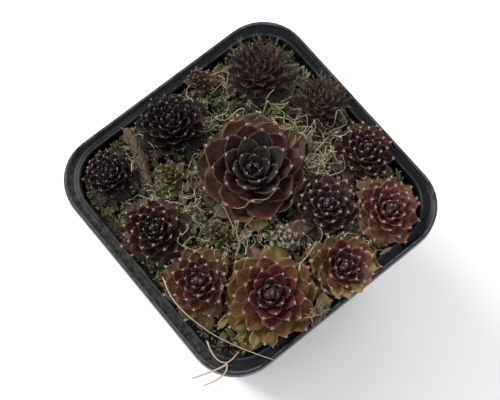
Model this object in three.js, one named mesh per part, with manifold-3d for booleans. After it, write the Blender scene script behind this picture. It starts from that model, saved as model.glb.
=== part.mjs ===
// Hens and chicks (Sempervivum) in a square nursery pot.
//
// One large rosette, the hen, stands among the smaller rosettes that it has put out, the chicks.
// Each rosette is one fused head: a crown on a short stem, with fleshy leaves in a golden-angle
// spiral. The stems stand in plain holes in the potting mix, which fills a thin-walled plastic pot
// with a flanged rim, a stacking shoulder, a foot ring and drain holes.
//
// Millimetres, +Z up. The origin is the centre of the pot's foot, on the surface it stands on.

import * as THREE from "three";
import { mergeVertices } from "three/addons/utils/BufferGeometryUtils.js";
import Module from "manifold-3d";

const wasm = await Module();
wasm.setup();

// ---------------------------------------------------------------- driving dimensions

const POT_WIDTH = 90; // across the rim's outer edge
const POT_HEIGHT = 80;
const FOOT_WIDTH = 62;
const RIM_CORNER = 15; // corner radius of the rim's outer edge
const FOOT_CORNER = 9;
const WALL = 0.9;
const SHOULDER_HEIGHT = 66; // where the wall steps out to the collar
const FLANGE = 3.6; // width of the rim's flange beyond the collar
const DRAIN_HOLE_RADIUS = 3.2;
const DRAIN_HOLE_SPREAD = 15; // from the centre to the outer holes, along X and Y

const STEM_DEPTH = 9; // of a chick's stem below its seat
const HEN_SHARE = 0.9; // how far the hen holds its ground against crowding chicks
const GAP = 0.3; // clearance between pieces that touch on the real plant
const SOIL_LEVEL = 74.5; // at the pot's wall
const SOIL_MOUND = 2.5; // how much higher the mix stands in the middle
const SOIL_LUMP = 0.5; // height of its crumbs

// The dry stalk of a spent flower: it stands in the mix and leans out over the rim.
const STALK_FOOT = [-25.2, 15.5, 74.3];
const STALK_TIP = [-18.2, 35.2, 86];
const STALK_RADIUS = 1.3;

const GOLDEN_ANGLE = Math.PI * (3 - Math.sqrt(5));
const DEGREE = Math.PI / 180;

function chick(name, at, seat, radius, height, turn, lean, leanTo) {
  return { name, at, seat, radius, height, leaves: 17, turn, lean, leanTo };
}

// A young offset, small and with few leaves.
function pup(name, at, seat, radius, height, turn, lean, leanTo) {
  return { name, at, seat, radius, height, leaves: 9, turn, lean, leanTo };
}

// Each rosette: where its stem stands, the height of its lowest leaves' seat, its radius and
// height, its number of leaves, the turn of its spiral, and how far and which way it leans.
const HEN = {
  name: "hen_rosette",
  at: [4, 3],
  seat: 80.5,
  radius: 20,
  height: 13.5,
  leaves: 30,
  turn: 20,
  lean: 3,
  leanTo: -100,
};
const CHICKS = [
  chick("chick_01", [13.5, -19], 80.3, 11.5, 9.5, 75, 5, -60),
  chick("chick_02", [34, -13.5], 80, 10.5, 9, 10, 8, 0),
  chick("chick_03", [27, -31.5], 80, 11.5, 9, 140, 10, -50),
  chick("chick_04", [5.5, -36.5], 80, 12, 9, 200, 10, -90),
  chick("chick_05", [-16.5, -30], 79.8, 16, 10.5, 60, 8, -125),
  chick("chick_06", [-30.5, -13.5], 79.8, 12, 9, 310, 8, 180),
  chick("chick_07", [-30.5, 7.5], 79.8, 11, 9, 255, 6, 180),
  chick("chick_08", [-5.5, 31], 79.8, 11.5, 9.5, 100, 8, 95),
  chick("chick_09", [-30, 30.5], 79.5, 8.5, 8, 30, 8, 140),
  chick("chick_10", [26, 27.5], 79.8, 12, 11, 170, 8, 55),
  chick("chick_11", [34.5, 8], 79.8, 9.5, 9, 285, 8, 20),
];
const PUPS = [
  pup("pup_01", [-16.5, -5], 79.2, 5.2, 5.5, 0, 10, 210),
  pup("pup_02", [-15.5, 18], 79.2, 6, 6, 90, 12, 140),
  pup("pup_03", [10.5, 37.5], 79.2, 5.2, 5.5, 40, 8, 90),
  pup("pup_04", [-2, -18.5], 79.2, 5, 5.5, 200, 6, 250),
];
const HEADS = [HEN, ...CHICKS, ...PUPS];

// ---------------------------------------------------------------- solids from rings of points

// Skins rings with equal numbers of points into one closed geometry. A ring of one point is a tip.
// Rings run from the first cap to the last, each counter-clockwise seen from the last one.
function skin(rings) {
  const points = rings.flat();
  const starts = [];
  let count = 0;
  for (const ring of rings) {
    starts.push(count);
    count += ring.length;
  }
  const faces = [];
  for (let k = 0; k + 1 < rings.length; k++) {
    const a = starts[k];
    const b = starts[k + 1];
    const sides = Math.max(rings[k].length, rings[k + 1].length);
    for (let i = 0; i < sides; i++) {
      const j = (i + 1) % sides;
      if (rings[k].length === 1) faces.push(a, b + j, b + i);
      else if (rings[k + 1].length === 1) faces.push(a + i, a + j, b);
      else faces.push(a + i, a + j, b + j, a + i, b + j, b + i);
    }
  }
  const last = starts[rings.length - 1];
  for (let i = 1; i + 1 < rings[0].length; i++) faces.push(0, i + 1, i);
  for (let i = 1; i + 1 < rings.at(-1).length; i++) faces.push(last, last + i, last + i + 1);
  const geometry = new THREE.BufferGeometry().setFromPoints(points);
  geometry.setIndex(faces);
  return geometry;
}

function solidOf(geometry) {
  const bare = geometry.clone();
  bare.deleteAttribute("normal");
  bare.deleteAttribute("uv");
  const merged = mergeVertices(bare, 1e-4);
  return new wasm.Manifold(
    new wasm.Mesh({
      numProp: 3,
      vertProperties: merged.getAttribute("position").array,
      triVerts: new Uint32Array(merged.index.array),
    }),
  );
}

function geometryOf(solid) {
  const mesh = solid.getMesh();
  const geometry = new THREE.BufferGeometry();
  geometry.setAttribute("position", new THREE.Float32BufferAttribute(mesh.vertProperties, 3));
  geometry.setIndex([...mesh.triVerts]);
  return geometry;
}

// The largest outer shell of a solid: sealed hollows are filled and loose scraps dropped.
function wholeBody(solid) {
  return solid.decompose().sort((a, b) => b.volume() - a.volume())[0];
}

function meshOf(name, geometry, material) {
  const flat = geometry.toNonIndexed();
  flat.computeVertexNormals();
  const mesh = new THREE.Mesh(flat, material);
  mesh.name = name;
  return mesh;
}

// ---------------------------------------------------------------- pot

const CORNER_STEPS = 4;

// A rounded square, counter-clockwise seen from above.
function roundedSquare(half, corner, z) {
  const centre = half - corner;
  const ring = [];
  for (let quarter = 0; quarter < 4; quarter++) {
    for (let step = 0; step <= CORNER_STEPS; step++) {
      const turn = (quarter + step / CORNER_STEPS) * (Math.PI / 2);
      const middle = (quarter + 0.5) * (Math.PI / 2);
      const x = Math.SQRT2 * centre * Math.cos(middle) + corner * Math.cos(turn);
      const y = Math.SQRT2 * centre * Math.sin(middle) + corner * Math.sin(turn);
      ring.push(new THREE.Vector3(x, y, z));
    }
  }
  return ring;
}

// The pot's section: distance in from the rim's outer edge, then height.
const RIM_HALF = POT_WIDTH / 2;
const FOOT_HALF = FOOT_WIDTH / 2;
const FOOT_RING = 6; // width of the flat ring it stands on
const FOOT_RECESS = 1.5; // height of the floor's underside
const FLOOR = FOOT_RECESS + 1.2; // height of the floor's upper face
const COLLAR_HALF = RIM_HALF - FLANGE;
const SHOULDER_STEP = 1.4;
const LIP_DROP = 4; // how far the flange's edge turns down
const BEAD = 0.5; // height of the beads along the flange's edges

// Half width of the wall's outer face below the shoulder.
function wallHalf(z) {
  const top = COLLAR_HALF - 0.6 - SHOULDER_STEP;
  return FOOT_HALF + ((top - FOOT_HALF) * z) / SHOULDER_HEIGHT;
}

function wallCorner(half) {
  const share = (half - FOOT_HALF) / (RIM_HALF - FOOT_HALF);
  return FOOT_CORNER + (RIM_CORNER - FOOT_CORNER) * share;
}

function potRing(half, z) {
  return roundedSquare(half, wallCorner(half), z);
}

// Half width of the pot's inner face at a height above the floor.
function innerHalf(z) {
  if (z <= SHOULDER_HEIGHT) return wallHalf(z) - WALL;
  const start = COLLAR_HALF - 0.6;
  const share = Math.min(1, (z - SHOULDER_HEIGHT - 2) / (POT_HEIGHT - SHOULDER_HEIGHT - 4));
  return start + 0.6 * Math.max(0, share) - WALL;
}

function potSolid() {
  const top = POT_HEIGHT;
  const outside = [
    potRing(FOOT_HALF - FOOT_RING - 1, FOOT_RECESS),
    potRing(FOOT_HALF - FOOT_RING, 0),
    potRing(FOOT_HALF - 0.8, 0),
    potRing(FOOT_HALF, 0.8),
    potRing(wallHalf(SHOULDER_HEIGHT), SHOULDER_HEIGHT),
    potRing(COLLAR_HALF - 0.6, SHOULDER_HEIGHT + 2),
    potRing(COLLAR_HALF, top - BEAD - WALL),
    potRing(RIM_HALF - WALL, top - BEAD - WALL),
    potRing(RIM_HALF - WALL, top - LIP_DROP),
    potRing(RIM_HALF, top - LIP_DROP),
  ];
  const rim = [
    potRing(RIM_HALF, top - 0.5),
    potRing(RIM_HALF - 0.4, top),
    potRing(RIM_HALF - 1, top),
    potRing(RIM_HALF - 1.4, top - BEAD),
    potRing(COLLAR_HALF + 0.5, top - BEAD),
    potRing(COLLAR_HALF + 0.1, top - 0.1),
    potRing(COLLAR_HALF - 0.5, top - 0.1),
    potRing(innerHalf(top - 1), top - 1),
  ];
  const inside = [
    potRing(innerHalf(SHOULDER_HEIGHT + 2), SHOULDER_HEIGHT + 2),
    potRing(innerHalf(SHOULDER_HEIGHT), SHOULDER_HEIGHT),
    potRing(innerHalf(FLOOR), FLOOR),
  ];
  let pot = solidOf(skin([...outside, ...rim, ...inside]));
  const holes = [[0, 0], [1, 1], [-1, 1], [-1, -1], [1, -1]];
  for (const [i, j] of holes) {
    const drill = new THREE.CylinderGeometry(DRAIN_HOLE_RADIUS, DRAIN_HOLE_RADIUS, 10, 12);
    drill.rotateX(Math.PI / 2);
    drill.translate(i * DRAIN_HOLE_SPREAD, j * DRAIN_HOLE_SPREAD, FLOOR);
    pot = pot.subtract(solidOf(drill));
  }
  return pot;
}

// The room that the rim and wall take up, grown by the clearance: leaves stop at it.
function rimRoomSolid() {
  const low = SHOULDER_HEIGHT - STEM_DEPTH;
  const high = POT_HEIGHT + GAP;
  const block = solidOf(skin([potRing(RIM_HALF + 9, low), potRing(RIM_HALF + 9, high)]));
  const heights = [low - 1, SHOULDER_HEIGHT, SHOULDER_HEIGHT + 2, high + 1];
  const mouth = skin(heights.map((z) => potRing(innerHalf(z) - GAP, z)));
  return block.subtract(solidOf(mouth));
}

// ---------------------------------------------------------------- rosettes

// A leaf's spine runs in a plane through the rosette's axis, as a quadratic curve from the crown
// over a control point to the tip. age is 0 for the innermost leaf and 1 for the outermost.
// Distances out from the axis are shares of the radius, heights are shares of the height.
const HEN_LEAF = {
  root: (age) => [0.04 + 0.22 * age, 0.34 * (1 - age)],
  bend: (age) => [0.15 + 0.58 * age, 0.62 - 0.6 * age],
  tip: (age) => [0.07 + 0.93 * age ** 0.75, 0.98 - 0.74 * age ** 1.7],
  halfWidth: (age) => 0.1 + 0.18 * age,
  thickness: (age) => 0.08 + 0.02 * age,
  stations: [[0, 0.4], [0.4, 0.84], [0.76, 0.94]],
  cup: 0.28,
};
const CHICK_LEAF = {
  root: (age) => [0.04 + 0.2 * age, 0.34 * (1 - age)],
  bend: (age) => [0.17 + 0.6 * age, 0.6 - 0.56 * age],
  tip: (age) => [0.07 + 0.93 * age ** 0.65, 1 - 0.76 * age ** 1.8],
  halfWidth: (age) => 0.12 + 0.14 * age,
  thickness: (age) => 0.13 + 0.01 * age,
  stations: [[0, 0.45], [0.55, 1]],
  cup: 0.3,
};

const CROWN_SIDES = 9;

function stemRadius(head) {
  return 0.13 * head.radius + 0.4;
}

function stemDepth(head) {
  return head === HEN ? 2 * STEM_DEPTH : STEM_DEPTH;
}

// The stem and crown under the leaves, grown by a margin where it is used to cut its hole.
function crownGeometry(head, margin = 0) {
  const { radius, height } = head;
  const stem = stemRadius(head) + margin;
  const depth = stemDepth(head) + margin;
  const profile = margin
    ? [[0, -depth], [stem, -depth], [stem, 4], [0, 4]]
    : [
        [0, -depth],
        [0.55 * stem, -depth],
        [stem, -0.25 * depth],
        [stem, -0.16 * height],
        [0.24 * radius, -0.06 * height],
        [0.25 * radius, 0.12 * height],
        [0.15 * radius, 0.38 * height],
        [0, 0.48 * height],
      ];
  const points = profile.map(([x, y]) => new THREE.Vector2(x, y));
  const lathe = new THREE.LatheGeometry(points, CROWN_SIDES);
  return lathe.rotateX(Math.PI / 2);
}

function placement(head) {
  const axis = new THREE.Vector3(-Math.sin(head.leanTo * DEGREE), Math.cos(head.leanTo * DEGREE), 0);
  const turn = new THREE.Quaternion().setFromAxisAngle(axis, head.lean * DEGREE);
  const seat = new THREE.Vector3(head.at[0], head.at[1], head.seat);
  return new THREE.Matrix4().compose(seat, turn, new THREE.Vector3(1, 1, 1));
}

// The radius with which a rosette presses against its neighbours.
function pressOf(head) {
  return head === HEN ? HEN_SHARE * head.radius : head.radius;
}

// Upright planes that part a rosette from its neighbours and from the pot's wall: each is a
// direction in plan and the distance from the rosette's stem at which its own room ends.
function boundaries(head) {
  const limits = [];
  for (const other of HEADS) {
    if (other === head) continue;
    const dx = other.at[0] - head.at[0];
    const dy = other.at[1] - head.at[1];
    const apart = Math.hypot(dx, dy);
    const share = (apart ** 2 + pressOf(head) ** 2 - pressOf(other) ** 2) / (2 * apart);
    limits.push({ angle: Math.atan2(dy, dx), room: share - GAP / 2 });
  }
  const wall = RIM_HALF - 0.5;
  for (let side = 0; side < 4; side++) {
    const angle = (side * Math.PI) / 2;
    const along = head.at[0] * Math.cos(angle) + head.at[1] * Math.sin(angle);
    limits.push({ angle, room: wall - along });
    const diagonal = angle + Math.PI / 4;
    const toCorner = Math.SQRT2 * (wall - RIM_CORNER) + RIM_CORNER;
    const across = head.at[0] * Math.cos(diagonal) + head.at[1] * Math.sin(diagonal);
    limits.push({ angle: diagonal, room: toCorner - across });
  }
  return limits;
}

// How far a leaf of this half width may reach in this direction before it meets a boundary.
function roomAlong(limits, azimuth, halfWidth) {
  let room = Infinity;
  for (const { angle, room: distance } of limits) {
    const facing = Math.cos(azimuth - angle);
    if (facing < 0.2) continue;
    const slack = 0.5 * halfWidth * Math.sqrt(1 - facing ** 2);
    room = Math.min(room, (distance - slack) / facing);
  }
  return room;
}

// One leaf as a closed geometry in the rosette's own frame.
function leafGeometry(head, index, limits) {
  const shape = head === HEN ? HEN_LEAF : CHICK_LEAF;
  const { radius, height } = head;
  const age = index / (head.leaves - 1);
  const azimuth = index * GOLDEN_ANGLE + head.turn * DEGREE;
  const halfWidth = shape.halfWidth(age) * radius;
  const thickness = Math.max(0.8, shape.thickness(age) * radius);
  const scale = ([r, z]) => new THREE.Vector2(r * radius, z * height);
  const root = scale(shape.root(age));
  const bend = scale(shape.bend(age));
  const tip = scale(shape.tip(age));
  // A crowded leaf is bent up until it clears its neighbour, and keeps most of its length.
  const room = roomAlong(limits, azimuth, halfWidth);
  const excess = Math.max(0, tip.x - room);
  tip.x -= excess;
  tip.y += 0.75 * excess;
  bend.x = Math.min(bend.x, Math.max(root.x + 0.2, room - 0.8));
  const spine = new THREE.QuadraticBezierCurve(root, bend, tip);
  const out = new THREE.Vector3(Math.cos(azimuth), Math.sin(azimuth), 0);
  const across = new THREE.Vector3(-Math.sin(azimuth), Math.cos(azimuth), 0);
  const up = new THREE.Vector3(0, 0, 1);
  const place = (s, x, y) => {
    const centre = spine.getPoint(s);
    const along = spine.getTangent(s);
    return new THREE.Vector3()
      .addScaledVector(out, centre.x - along.y * y)
      .addScaledVector(up, centre.y + along.x * y)
      .addScaledVector(across, x);
  };
  const rings = shape.stations.map(([s, share]) => {
    const w = halfWidth * share;
    const lift = shape.cup * w;
    return [
      place(s, 0, 0),
      place(s, -w, lift),
      place(s, 0, -thickness * (1 - 0.35 * s)),
      place(s, w, lift),
    ];
  });
  return skin([...rings, [place(1, 0, 0.25 * thickness)]]);
}

function rosetteMesh(head, material) {
  const matrix = placement(head);
  const inverse = matrix.clone().invert();
  const limits = boundaries(head);
  let solid = solidOf(crownGeometry(head));
  for (let index = 0; index < head.leaves; index++) {
    solid = solid.add(solidOf(leafGeometry(head, index, limits)));
  }
  // What would still cross a boundary is trimmed off flush with it.
  const block = 60;
  for (const { angle, room } of limits) {
    if (room > head.radius + 6) continue;
    const knife = new THREE.BoxGeometry(block, block, block);
    knife.translate(room + block / 2, 0, 0);
    knife.rotateZ(angle);
    knife.translate(head.at[0], head.at[1], head.seat);
    knife.applyMatrix4(inverse);
    solid = solid.subtract(solidOf(knife));
  }
  solid = solid.subtract(rimRoom.transform(inverse.elements));
  const mesh = meshOf(head.name, geometryOf(wholeBody(solid)), material);
  mesh.position.setFromMatrixPosition(matrix);
  mesh.quaternion.setFromRotationMatrix(matrix);
  return mesh;
}

// The dry stalk, thickest at the broken head, grown by a margin where it cuts its hole.
function stalkGeometry(margin = 0) {
  const foot = new THREE.Vector3(...STALK_FOOT);
  const tip = new THREE.Vector3(...STALK_TIP);
  const length = foot.distanceTo(tip);
  const profile = [
    [0, -margin],
    [0.55 * STALK_RADIUS + margin, -margin],
    [0.75 * STALK_RADIUS + margin, 0.45 * length],
    [STALK_RADIUS + margin, 0.75 * length],
    [0.85 * STALK_RADIUS + margin, 0.95 * length],
    [0, length + margin],
  ];
  const points = profile.map(([x, y]) => new THREE.Vector2(x, y));
  const up = new THREE.Vector3(0, 1, 0);
  const lean = new THREE.Quaternion().setFromUnitVectors(up, tip.sub(foot).normalize());
  return new THREE.LatheGeometry(points, 8).applyQuaternion(lean).translate(...STALK_FOOT);
}

// ---------------------------------------------------------------- potting mix

function soilHeight(x, y) {
  const out = Math.min(1, Math.hypot(x, y) / RIM_HALF);
  const lumps = Math.sin(0.9 * x + 1.3) * Math.cos(0.8 * y) + Math.sin(0.55 * x - 0.7 * y + 2);
  return SOIL_LEVEL + SOIL_MOUND * (1 - out ** 2) + 0.5 * SOIL_LUMP * lumps;
}

function soilSolid() {
  const side = [FLOOR + GAP, SHOULDER_HEIGHT - GAP, SHOULDER_HEIGHT + 2 + GAP];
  const rings = side.map((z) => potRing(innerHalf(z) - GAP, z));
  rings[1] = potRing(innerHalf(side[1]) - 1.5 * GAP, side[1]);
  const edge = innerHalf(SOIL_LEVEL) - 2 * GAP;
  const shares = [1, 0.88, 0.74, 0.58, 0.4, 0.2];
  for (const share of shares) {
    const ring = roundedSquare(edge * share, wallCorner(edge) * share, 0);
    for (const point of ring) point.z = soilHeight(point.x, point.y);
    rings.push(ring);
  }
  rings.push([new THREE.Vector3(0, 0, soilHeight(0, 0))]);
  let soil = solidOf(skin(rings));
  for (const head of HEADS) {
    const hole = crownGeometry(head, GAP).applyMatrix4(placement(head));
    soil = soil.subtract(solidOf(hole));
  }
  soil = soil.subtract(solidOf(stalkGeometry(GAP)));
  return wholeBody(soil);
}

// ---------------------------------------------------------------- the object

const plastic = new THREE.MeshStandardMaterial({ color: 0x17181a, roughness: 0.45, metalness: 0 });
const mix = new THREE.MeshStandardMaterial({ color: 0x2b1d14, roughness: 0.95, metalness: 0 });
const henLeaf = new THREE.MeshStandardMaterial({ color: 0x4c2320, roughness: 0.6, metalness: 0 });
const chickLeaf = new THREE.MeshStandardMaterial({ color: 0x6b2a2c, roughness: 0.6, metalness: 0 });
const pupLeaf = new THREE.MeshStandardMaterial({ color: 0x77804a, roughness: 0.6, metalness: 0 });

const straw = new THREE.MeshStandardMaterial({ color: 0x6b4630, roughness: 0.9, metalness: 0 });

const rimRoom = rimRoomSolid();

const plant = new THREE.Group();
plant.name = "plant";
plant.add(rosetteMesh(HEN, henLeaf));
for (const chick of CHICKS) plant.add(rosetteMesh(chick, chickLeaf));
for (const pup of PUPS) plant.add(rosetteMesh(pup, pupLeaf));

plant.add(meshOf("dry_stalk", geometryOf(solidOf(stalkGeometry())), straw));

const pottedPlant = new THREE.Group();
pottedPlant.add(meshOf("pot", geometryOf(potSolid()), plastic));
pottedPlant.add(meshOf("potting_mix", geometryOf(soilSolid()), mix));
pottedPlant.add(plant);

export default pottedPlant;
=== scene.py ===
# %% [markdown]
# # Hens and chicks in a square nursery pot
#
# A houseleek grows as a flat rosette of fleshy leaves. The big rosette, the hen, puts out runners,
# and each runner ends in a small rosette, a chick. This lesson dresses a plain solid model of such
# a clump. Every solid is replaced by a finer piece of the same form: the pot gets its beads and
# its worn plastic, the potting mix its crumbs, and each rosette its many hairy leaves.
#
# Everything is in metres, in the frame of the solid model: the origin is the centre of the pot's
# foot and +Z is up. Sizes are written in millimetres and multiplied by MM.

# %% Load the solid model
import math
import random

import bmesh
import bpy
from mathutils import Matrix, Vector, noise
from mathutils.bvhtree import BVHTree


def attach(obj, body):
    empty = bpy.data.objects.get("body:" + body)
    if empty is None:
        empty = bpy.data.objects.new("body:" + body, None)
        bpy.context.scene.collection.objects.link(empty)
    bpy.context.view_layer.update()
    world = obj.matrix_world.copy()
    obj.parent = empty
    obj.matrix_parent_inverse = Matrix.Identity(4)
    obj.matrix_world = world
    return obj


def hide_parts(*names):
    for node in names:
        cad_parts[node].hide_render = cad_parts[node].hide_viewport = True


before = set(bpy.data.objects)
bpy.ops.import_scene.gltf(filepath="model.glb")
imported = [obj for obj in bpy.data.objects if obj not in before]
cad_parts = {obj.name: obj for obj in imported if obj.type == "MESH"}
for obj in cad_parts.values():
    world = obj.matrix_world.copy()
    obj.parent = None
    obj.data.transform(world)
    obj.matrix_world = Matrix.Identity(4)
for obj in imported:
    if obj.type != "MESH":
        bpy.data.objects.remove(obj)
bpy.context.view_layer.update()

MM = 0.001
print("nodes:", len(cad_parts))

# %% [markdown]
# ## Floor, light and camera
#
# The camera looks steeply down, 71 degrees above the horizon, over the pot's front corner, because
# a rosette shows its whole spiral from above. A long lens keeps the square pot from flaring.
# The floor is plain and pale. One large soft lamp at the upper left models the leaves, a weaker
# one opposite opens the shadows, and the pale surroundings fill in the rest.

# %% Floor
FLOOR_WIDTH = 24  # metres, so that its edge is out of sight from any side
FLOOR_COLOUR = (0.86, 0.86, 0.86, 1)

bpy.ops.mesh.primitive_plane_add(size=FLOOR_WIDTH, location=(0, 0, 0))
floor = bpy.context.object
floor.name = "floor"
paint = bpy.data.materials.new("pale floor")
paint.use_nodes = True
paint.node_tree.nodes["Principled BSDF"].inputs["Base Color"].default_value = FLOOR_COLOUR
paint.node_tree.nodes["Principled BSDF"].inputs["Roughness"].default_value = 0.7
floor.data.materials.append(paint)
print("floor:", FLOOR_WIDTH, "m wide")

# %% Camera
RIM_HEIGHT = 80 * MM
CAMERA_ELEVATION = math.radians(71)
CAMERA_TURN = math.radians(39.3)  # from the -Y axis round towards -X
CAMERA_DISTANCE = 0.45
LENS = 104.0
TARGET = Vector((0, 0, RIM_HEIGHT - 9 * MM))  # a little below the rim's middle


def aim(thing, at):
    """Turn a lamp or camera at a point, with its top towards +Z."""
    thing.rotation_euler = (at - thing.location).to_track_quat("-Z", "Y").to_euler()


back = Vector((
    -math.sin(CAMERA_TURN) * math.cos(CAMERA_ELEVATION),
    -math.cos(CAMERA_TURN) * math.cos(CAMERA_ELEVATION),
    math.sin(CAMERA_ELEVATION),
))
bpy.ops.object.camera_add(location=TARGET + back * CAMERA_DISTANCE)
camera = bpy.context.object
camera.name = "camera"
camera.data.lens = LENS
camera.data.sensor_width = 36
camera.data.clip_start = 0.01
aim(camera, TARGET)
bpy.context.scene.camera = camera
print("camera at", [round(v, 3) for v in camera.location])

# %% Lamps and room
RIGHT = Vector((math.cos(CAMERA_TURN), -math.sin(CAMERA_TURN), 0))
AWAY = Vector((math.sin(CAMERA_TURN), math.cos(CAMERA_TURN), 0))
# Each lamp's name, place from the target in metres, size, power in watts and colour.
LAMPS = [
    ("key_lamp", RIGHT * -0.55 + AWAY * 0.35 + Vector((0, 0, 0.75)), 0.45, 11, (1, 0.98, 0.95)),
    ("fill_lamp", RIGHT * 0.7 - AWAY * 0.4 + Vector((0, 0, 0.6)), 0.8, 2, (0.93, 0.96, 1)),
]
ROOM_COLOUR = (0.98, 0.99, 1, 1)


def deselect_all():
    for thing in bpy.context.selected_objects:
        thing.select_set(False)


for name, place, size, watts, colour in LAMPS:
    deselect_all()
    bpy.ops.object.light_add(type="AREA", location=TARGET + place)
    lamp = bpy.context.object
    lamp.name = name
    lamp.data.size = size
    lamp.data.energy = watts
    lamp.data.color = colour
    aim(lamp, TARGET)
world = bpy.data.worlds.new("pale room")
bpy.context.scene.world = world
world.use_nodes = True
world.node_tree.nodes["Background"].inputs["Color"].default_value = ROOM_COLOUR
world.node_tree.nodes["Background"].inputs["Strength"].default_value = 1.0
bpy.context.scene.view_settings.view_transform = "Standard"
print("lamps:", [name for name, *_ in LAMPS])

# %% [markdown]
# ## Shared surface effects
#
# Shader node groups hold what several materials use. Each group has named inputs and outputs and
# puts out only colours, masks and heights, so that the same group serves on plastic, soil and
# leaf with its own values. The first speckles a surface with a second colour, as dust and dried
# splashes do. The second adds fine grain for the bump.
#
# A few helpers make the nodes. In them a source is a pair, (node, output), and any input can be
# given a source or a plain value.

# %% Node helpers
FLOAT, COLOUR, VECTOR = "NodeSocketFloat", "NodeSocketColor", "NodeSocketVector"
# The sockets of a colour Mix node, by place: factor, first and second colour, and the result.
MIX_FACTOR, MIX_A, MIX_B, MIX_OUT = 0, 6, 7, 2


def add_node(tree, kind, inputs=None, **settings):
    """A node with its settings; an input given a source is linked, any other takes the value."""
    made = tree.nodes.new(kind)
    for key, value in settings.items():
        setattr(made, key, value)
    for into, value in (inputs or {}).items():
        if isinstance(value, tuple) and isinstance(value[0], bpy.types.Node):
            tree.links.new(value[0].outputs[value[1]], made.inputs[into])
        else:
            made.inputs[into].default_value = value
    return made


def calculate(tree, operation, *terms):
    """A Math node's result."""
    return add_node(tree, "ShaderNodeMath", dict(enumerate(terms)), operation=operation), 0


def mix(tree, factor, first, second, blend="MIX"):
    """A mixed colour."""
    inputs = {MIX_FACTOR: factor, MIX_A: first, MIX_B: second}
    return add_node(tree, "ShaderNodeMix", inputs, data_type="RGBA", blend_type=blend), MIX_OUT


def cloud(tree, vector, scale, detail, **more):
    """A noise texture's value."""
    inputs = {"Vector": vector, "Scale": scale, "Detail": detail, **more}
    return add_node(tree, "ShaderNodeTexNoise", inputs), "Fac"


def ease(tree, source, low, high, out_low=0.0, out_high=1.0):
    """A value that changes smoothly while its source goes from low to high."""
    inputs = {"Value": source, "From Min": low, "From Max": high,
              "To Min": out_low, "To Max": out_high}
    return add_node(tree, "ShaderNodeMapRange", inputs, interpolation_type="SMOOTHSTEP"), "Result"


def new_group(name, inputs, outputs):
    """An empty node group. Inputs are (name, socket type, value), outputs (name, socket type)."""
    tree = bpy.data.node_groups.new(name, "ShaderNodeTree")
    for label, kind, value in inputs:
        socket = tree.interface.new_socket(label, in_out="INPUT", socket_type=kind)
        socket.default_value = value
    for label, kind in outputs:
        tree.interface.new_socket(label, in_out="OUTPUT", socket_type=kind)
    return tree, add_node(tree, "NodeGroupInput")


print("sockets of a colour Mix node:", MIX_FACTOR, MIX_A, MIX_B, "in and", MIX_OUT, "out")

# %% Speckle group
SPECKLE_TOP = 0.72  # the noise above which even the least cover shows specks
COVER_REACH = 0.45  # how far full cover lowers that level


def build_speckle():
    tree, entry = new_group(
        "speckle",
        [("Vector", VECTOR, (0, 0, 0)), ("Base", COLOUR, (0, 0, 0, 1)),
         ("Speck", COLOUR, (1, 1, 1, 1)), ("Scale", FLOAT, 300.0), ("Cover", FLOAT, 0.3),
         ("Softness", FLOAT, 0.08)],
        [("Colour", COLOUR), ("Mask", FLOAT)],
    )
    noise_value = cloud(tree, (entry, "Vector"), (entry, "Scale"), 8, Roughness=0.65)
    reach = calculate(tree, "MULTIPLY", (entry, "Cover"), COVER_REACH)
    low = calculate(tree, "SUBTRACT", SPECKLE_TOP, reach)
    high = calculate(tree, "ADD", low, (entry, "Softness"))
    mask = ease(tree, noise_value, low, high)
    colour = mix(tree, mask, (entry, "Base"), (entry, "Speck"))
    add_node(tree, "NodeGroupOutput", {"Colour": colour, "Mask": mask})
    return tree


speckle_group = build_speckle()
print(speckle_group.name, "has", len(speckle_group.nodes), "nodes")


# %% Grain group
def build_grain():
    tree, entry = new_group(
        "grain",
        [("Vector", VECTOR, (0, 0, 0)), ("Scale", FLOAT, 800.0), ("Coarse share", FLOAT, 0.5)],
        [("Height", FLOAT)],
    )
    larger = calculate(tree, "MULTIPLY", (entry, "Scale"), 0.2)
    fine = cloud(tree, (entry, "Vector"), (entry, "Scale"), 4)
    coarse = cloud(tree, (entry, "Vector"), larger, 3)
    inputs = {0: (entry, "Coarse share"), 2: fine, 3: coarse}
    blend = add_node(tree, "ShaderNodeMix", inputs, data_type="FLOAT")
    add_node(tree, "NodeGroupOutput", {"Height": (blend, 0)})
    return tree


grain_group = build_grain()
print(grain_group.name, "has", len(grain_group.nodes), "nodes")


# %% Material helpers
def new_material(name, roughness=0.6, **sockets):
    """A material with its Principled shader's constant values set on the sockets themselves."""
    made = bpy.data.materials.new(name)
    made.use_nodes = True
    shader = made.node_tree.nodes["Principled BSDF"]
    shader.inputs["Roughness"].default_value = roughness
    for label, value in sockets.items():
        shader.inputs[label.replace("_", " ")].default_value = value
    place = add_node(made.node_tree, "ShaderNodeTexCoord")
    return made, made.node_tree, shader, (place, "Object")


def place_group(tree, group, vector, **values):
    """A group in a material, with its own values."""
    inputs = {label.replace("_", " "): value for label, value in values.items()}
    return add_node(tree, "ShaderNodeGroup", {"Vector": vector, **inputs}, node_tree=group)


def give(tree, shader, label, source):
    """Lead a source into one of the shader's inputs."""
    tree.links.new(source[0].outputs[source[1]], shader.inputs[label])


def add_bump(tree, shader, height, strength, depth):
    """A bump from a height; its depth is in millimetres."""
    inputs = {"Strength": strength, "Distance": depth * MM, "Height": height}
    give(tree, shader, "Normal", (add_node(tree, "ShaderNodeBump", inputs), "Normal"))


def finish_piece(piece, material, node=None):
    """Give a piece its material, say what it rides on, and hide the solid that it replaces."""
    piece.data.materials.append(material)
    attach(piece, "root")
    if node is not None:
        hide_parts(node)
    print(piece.name, len(piece.data.polygons), "faces")


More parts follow.
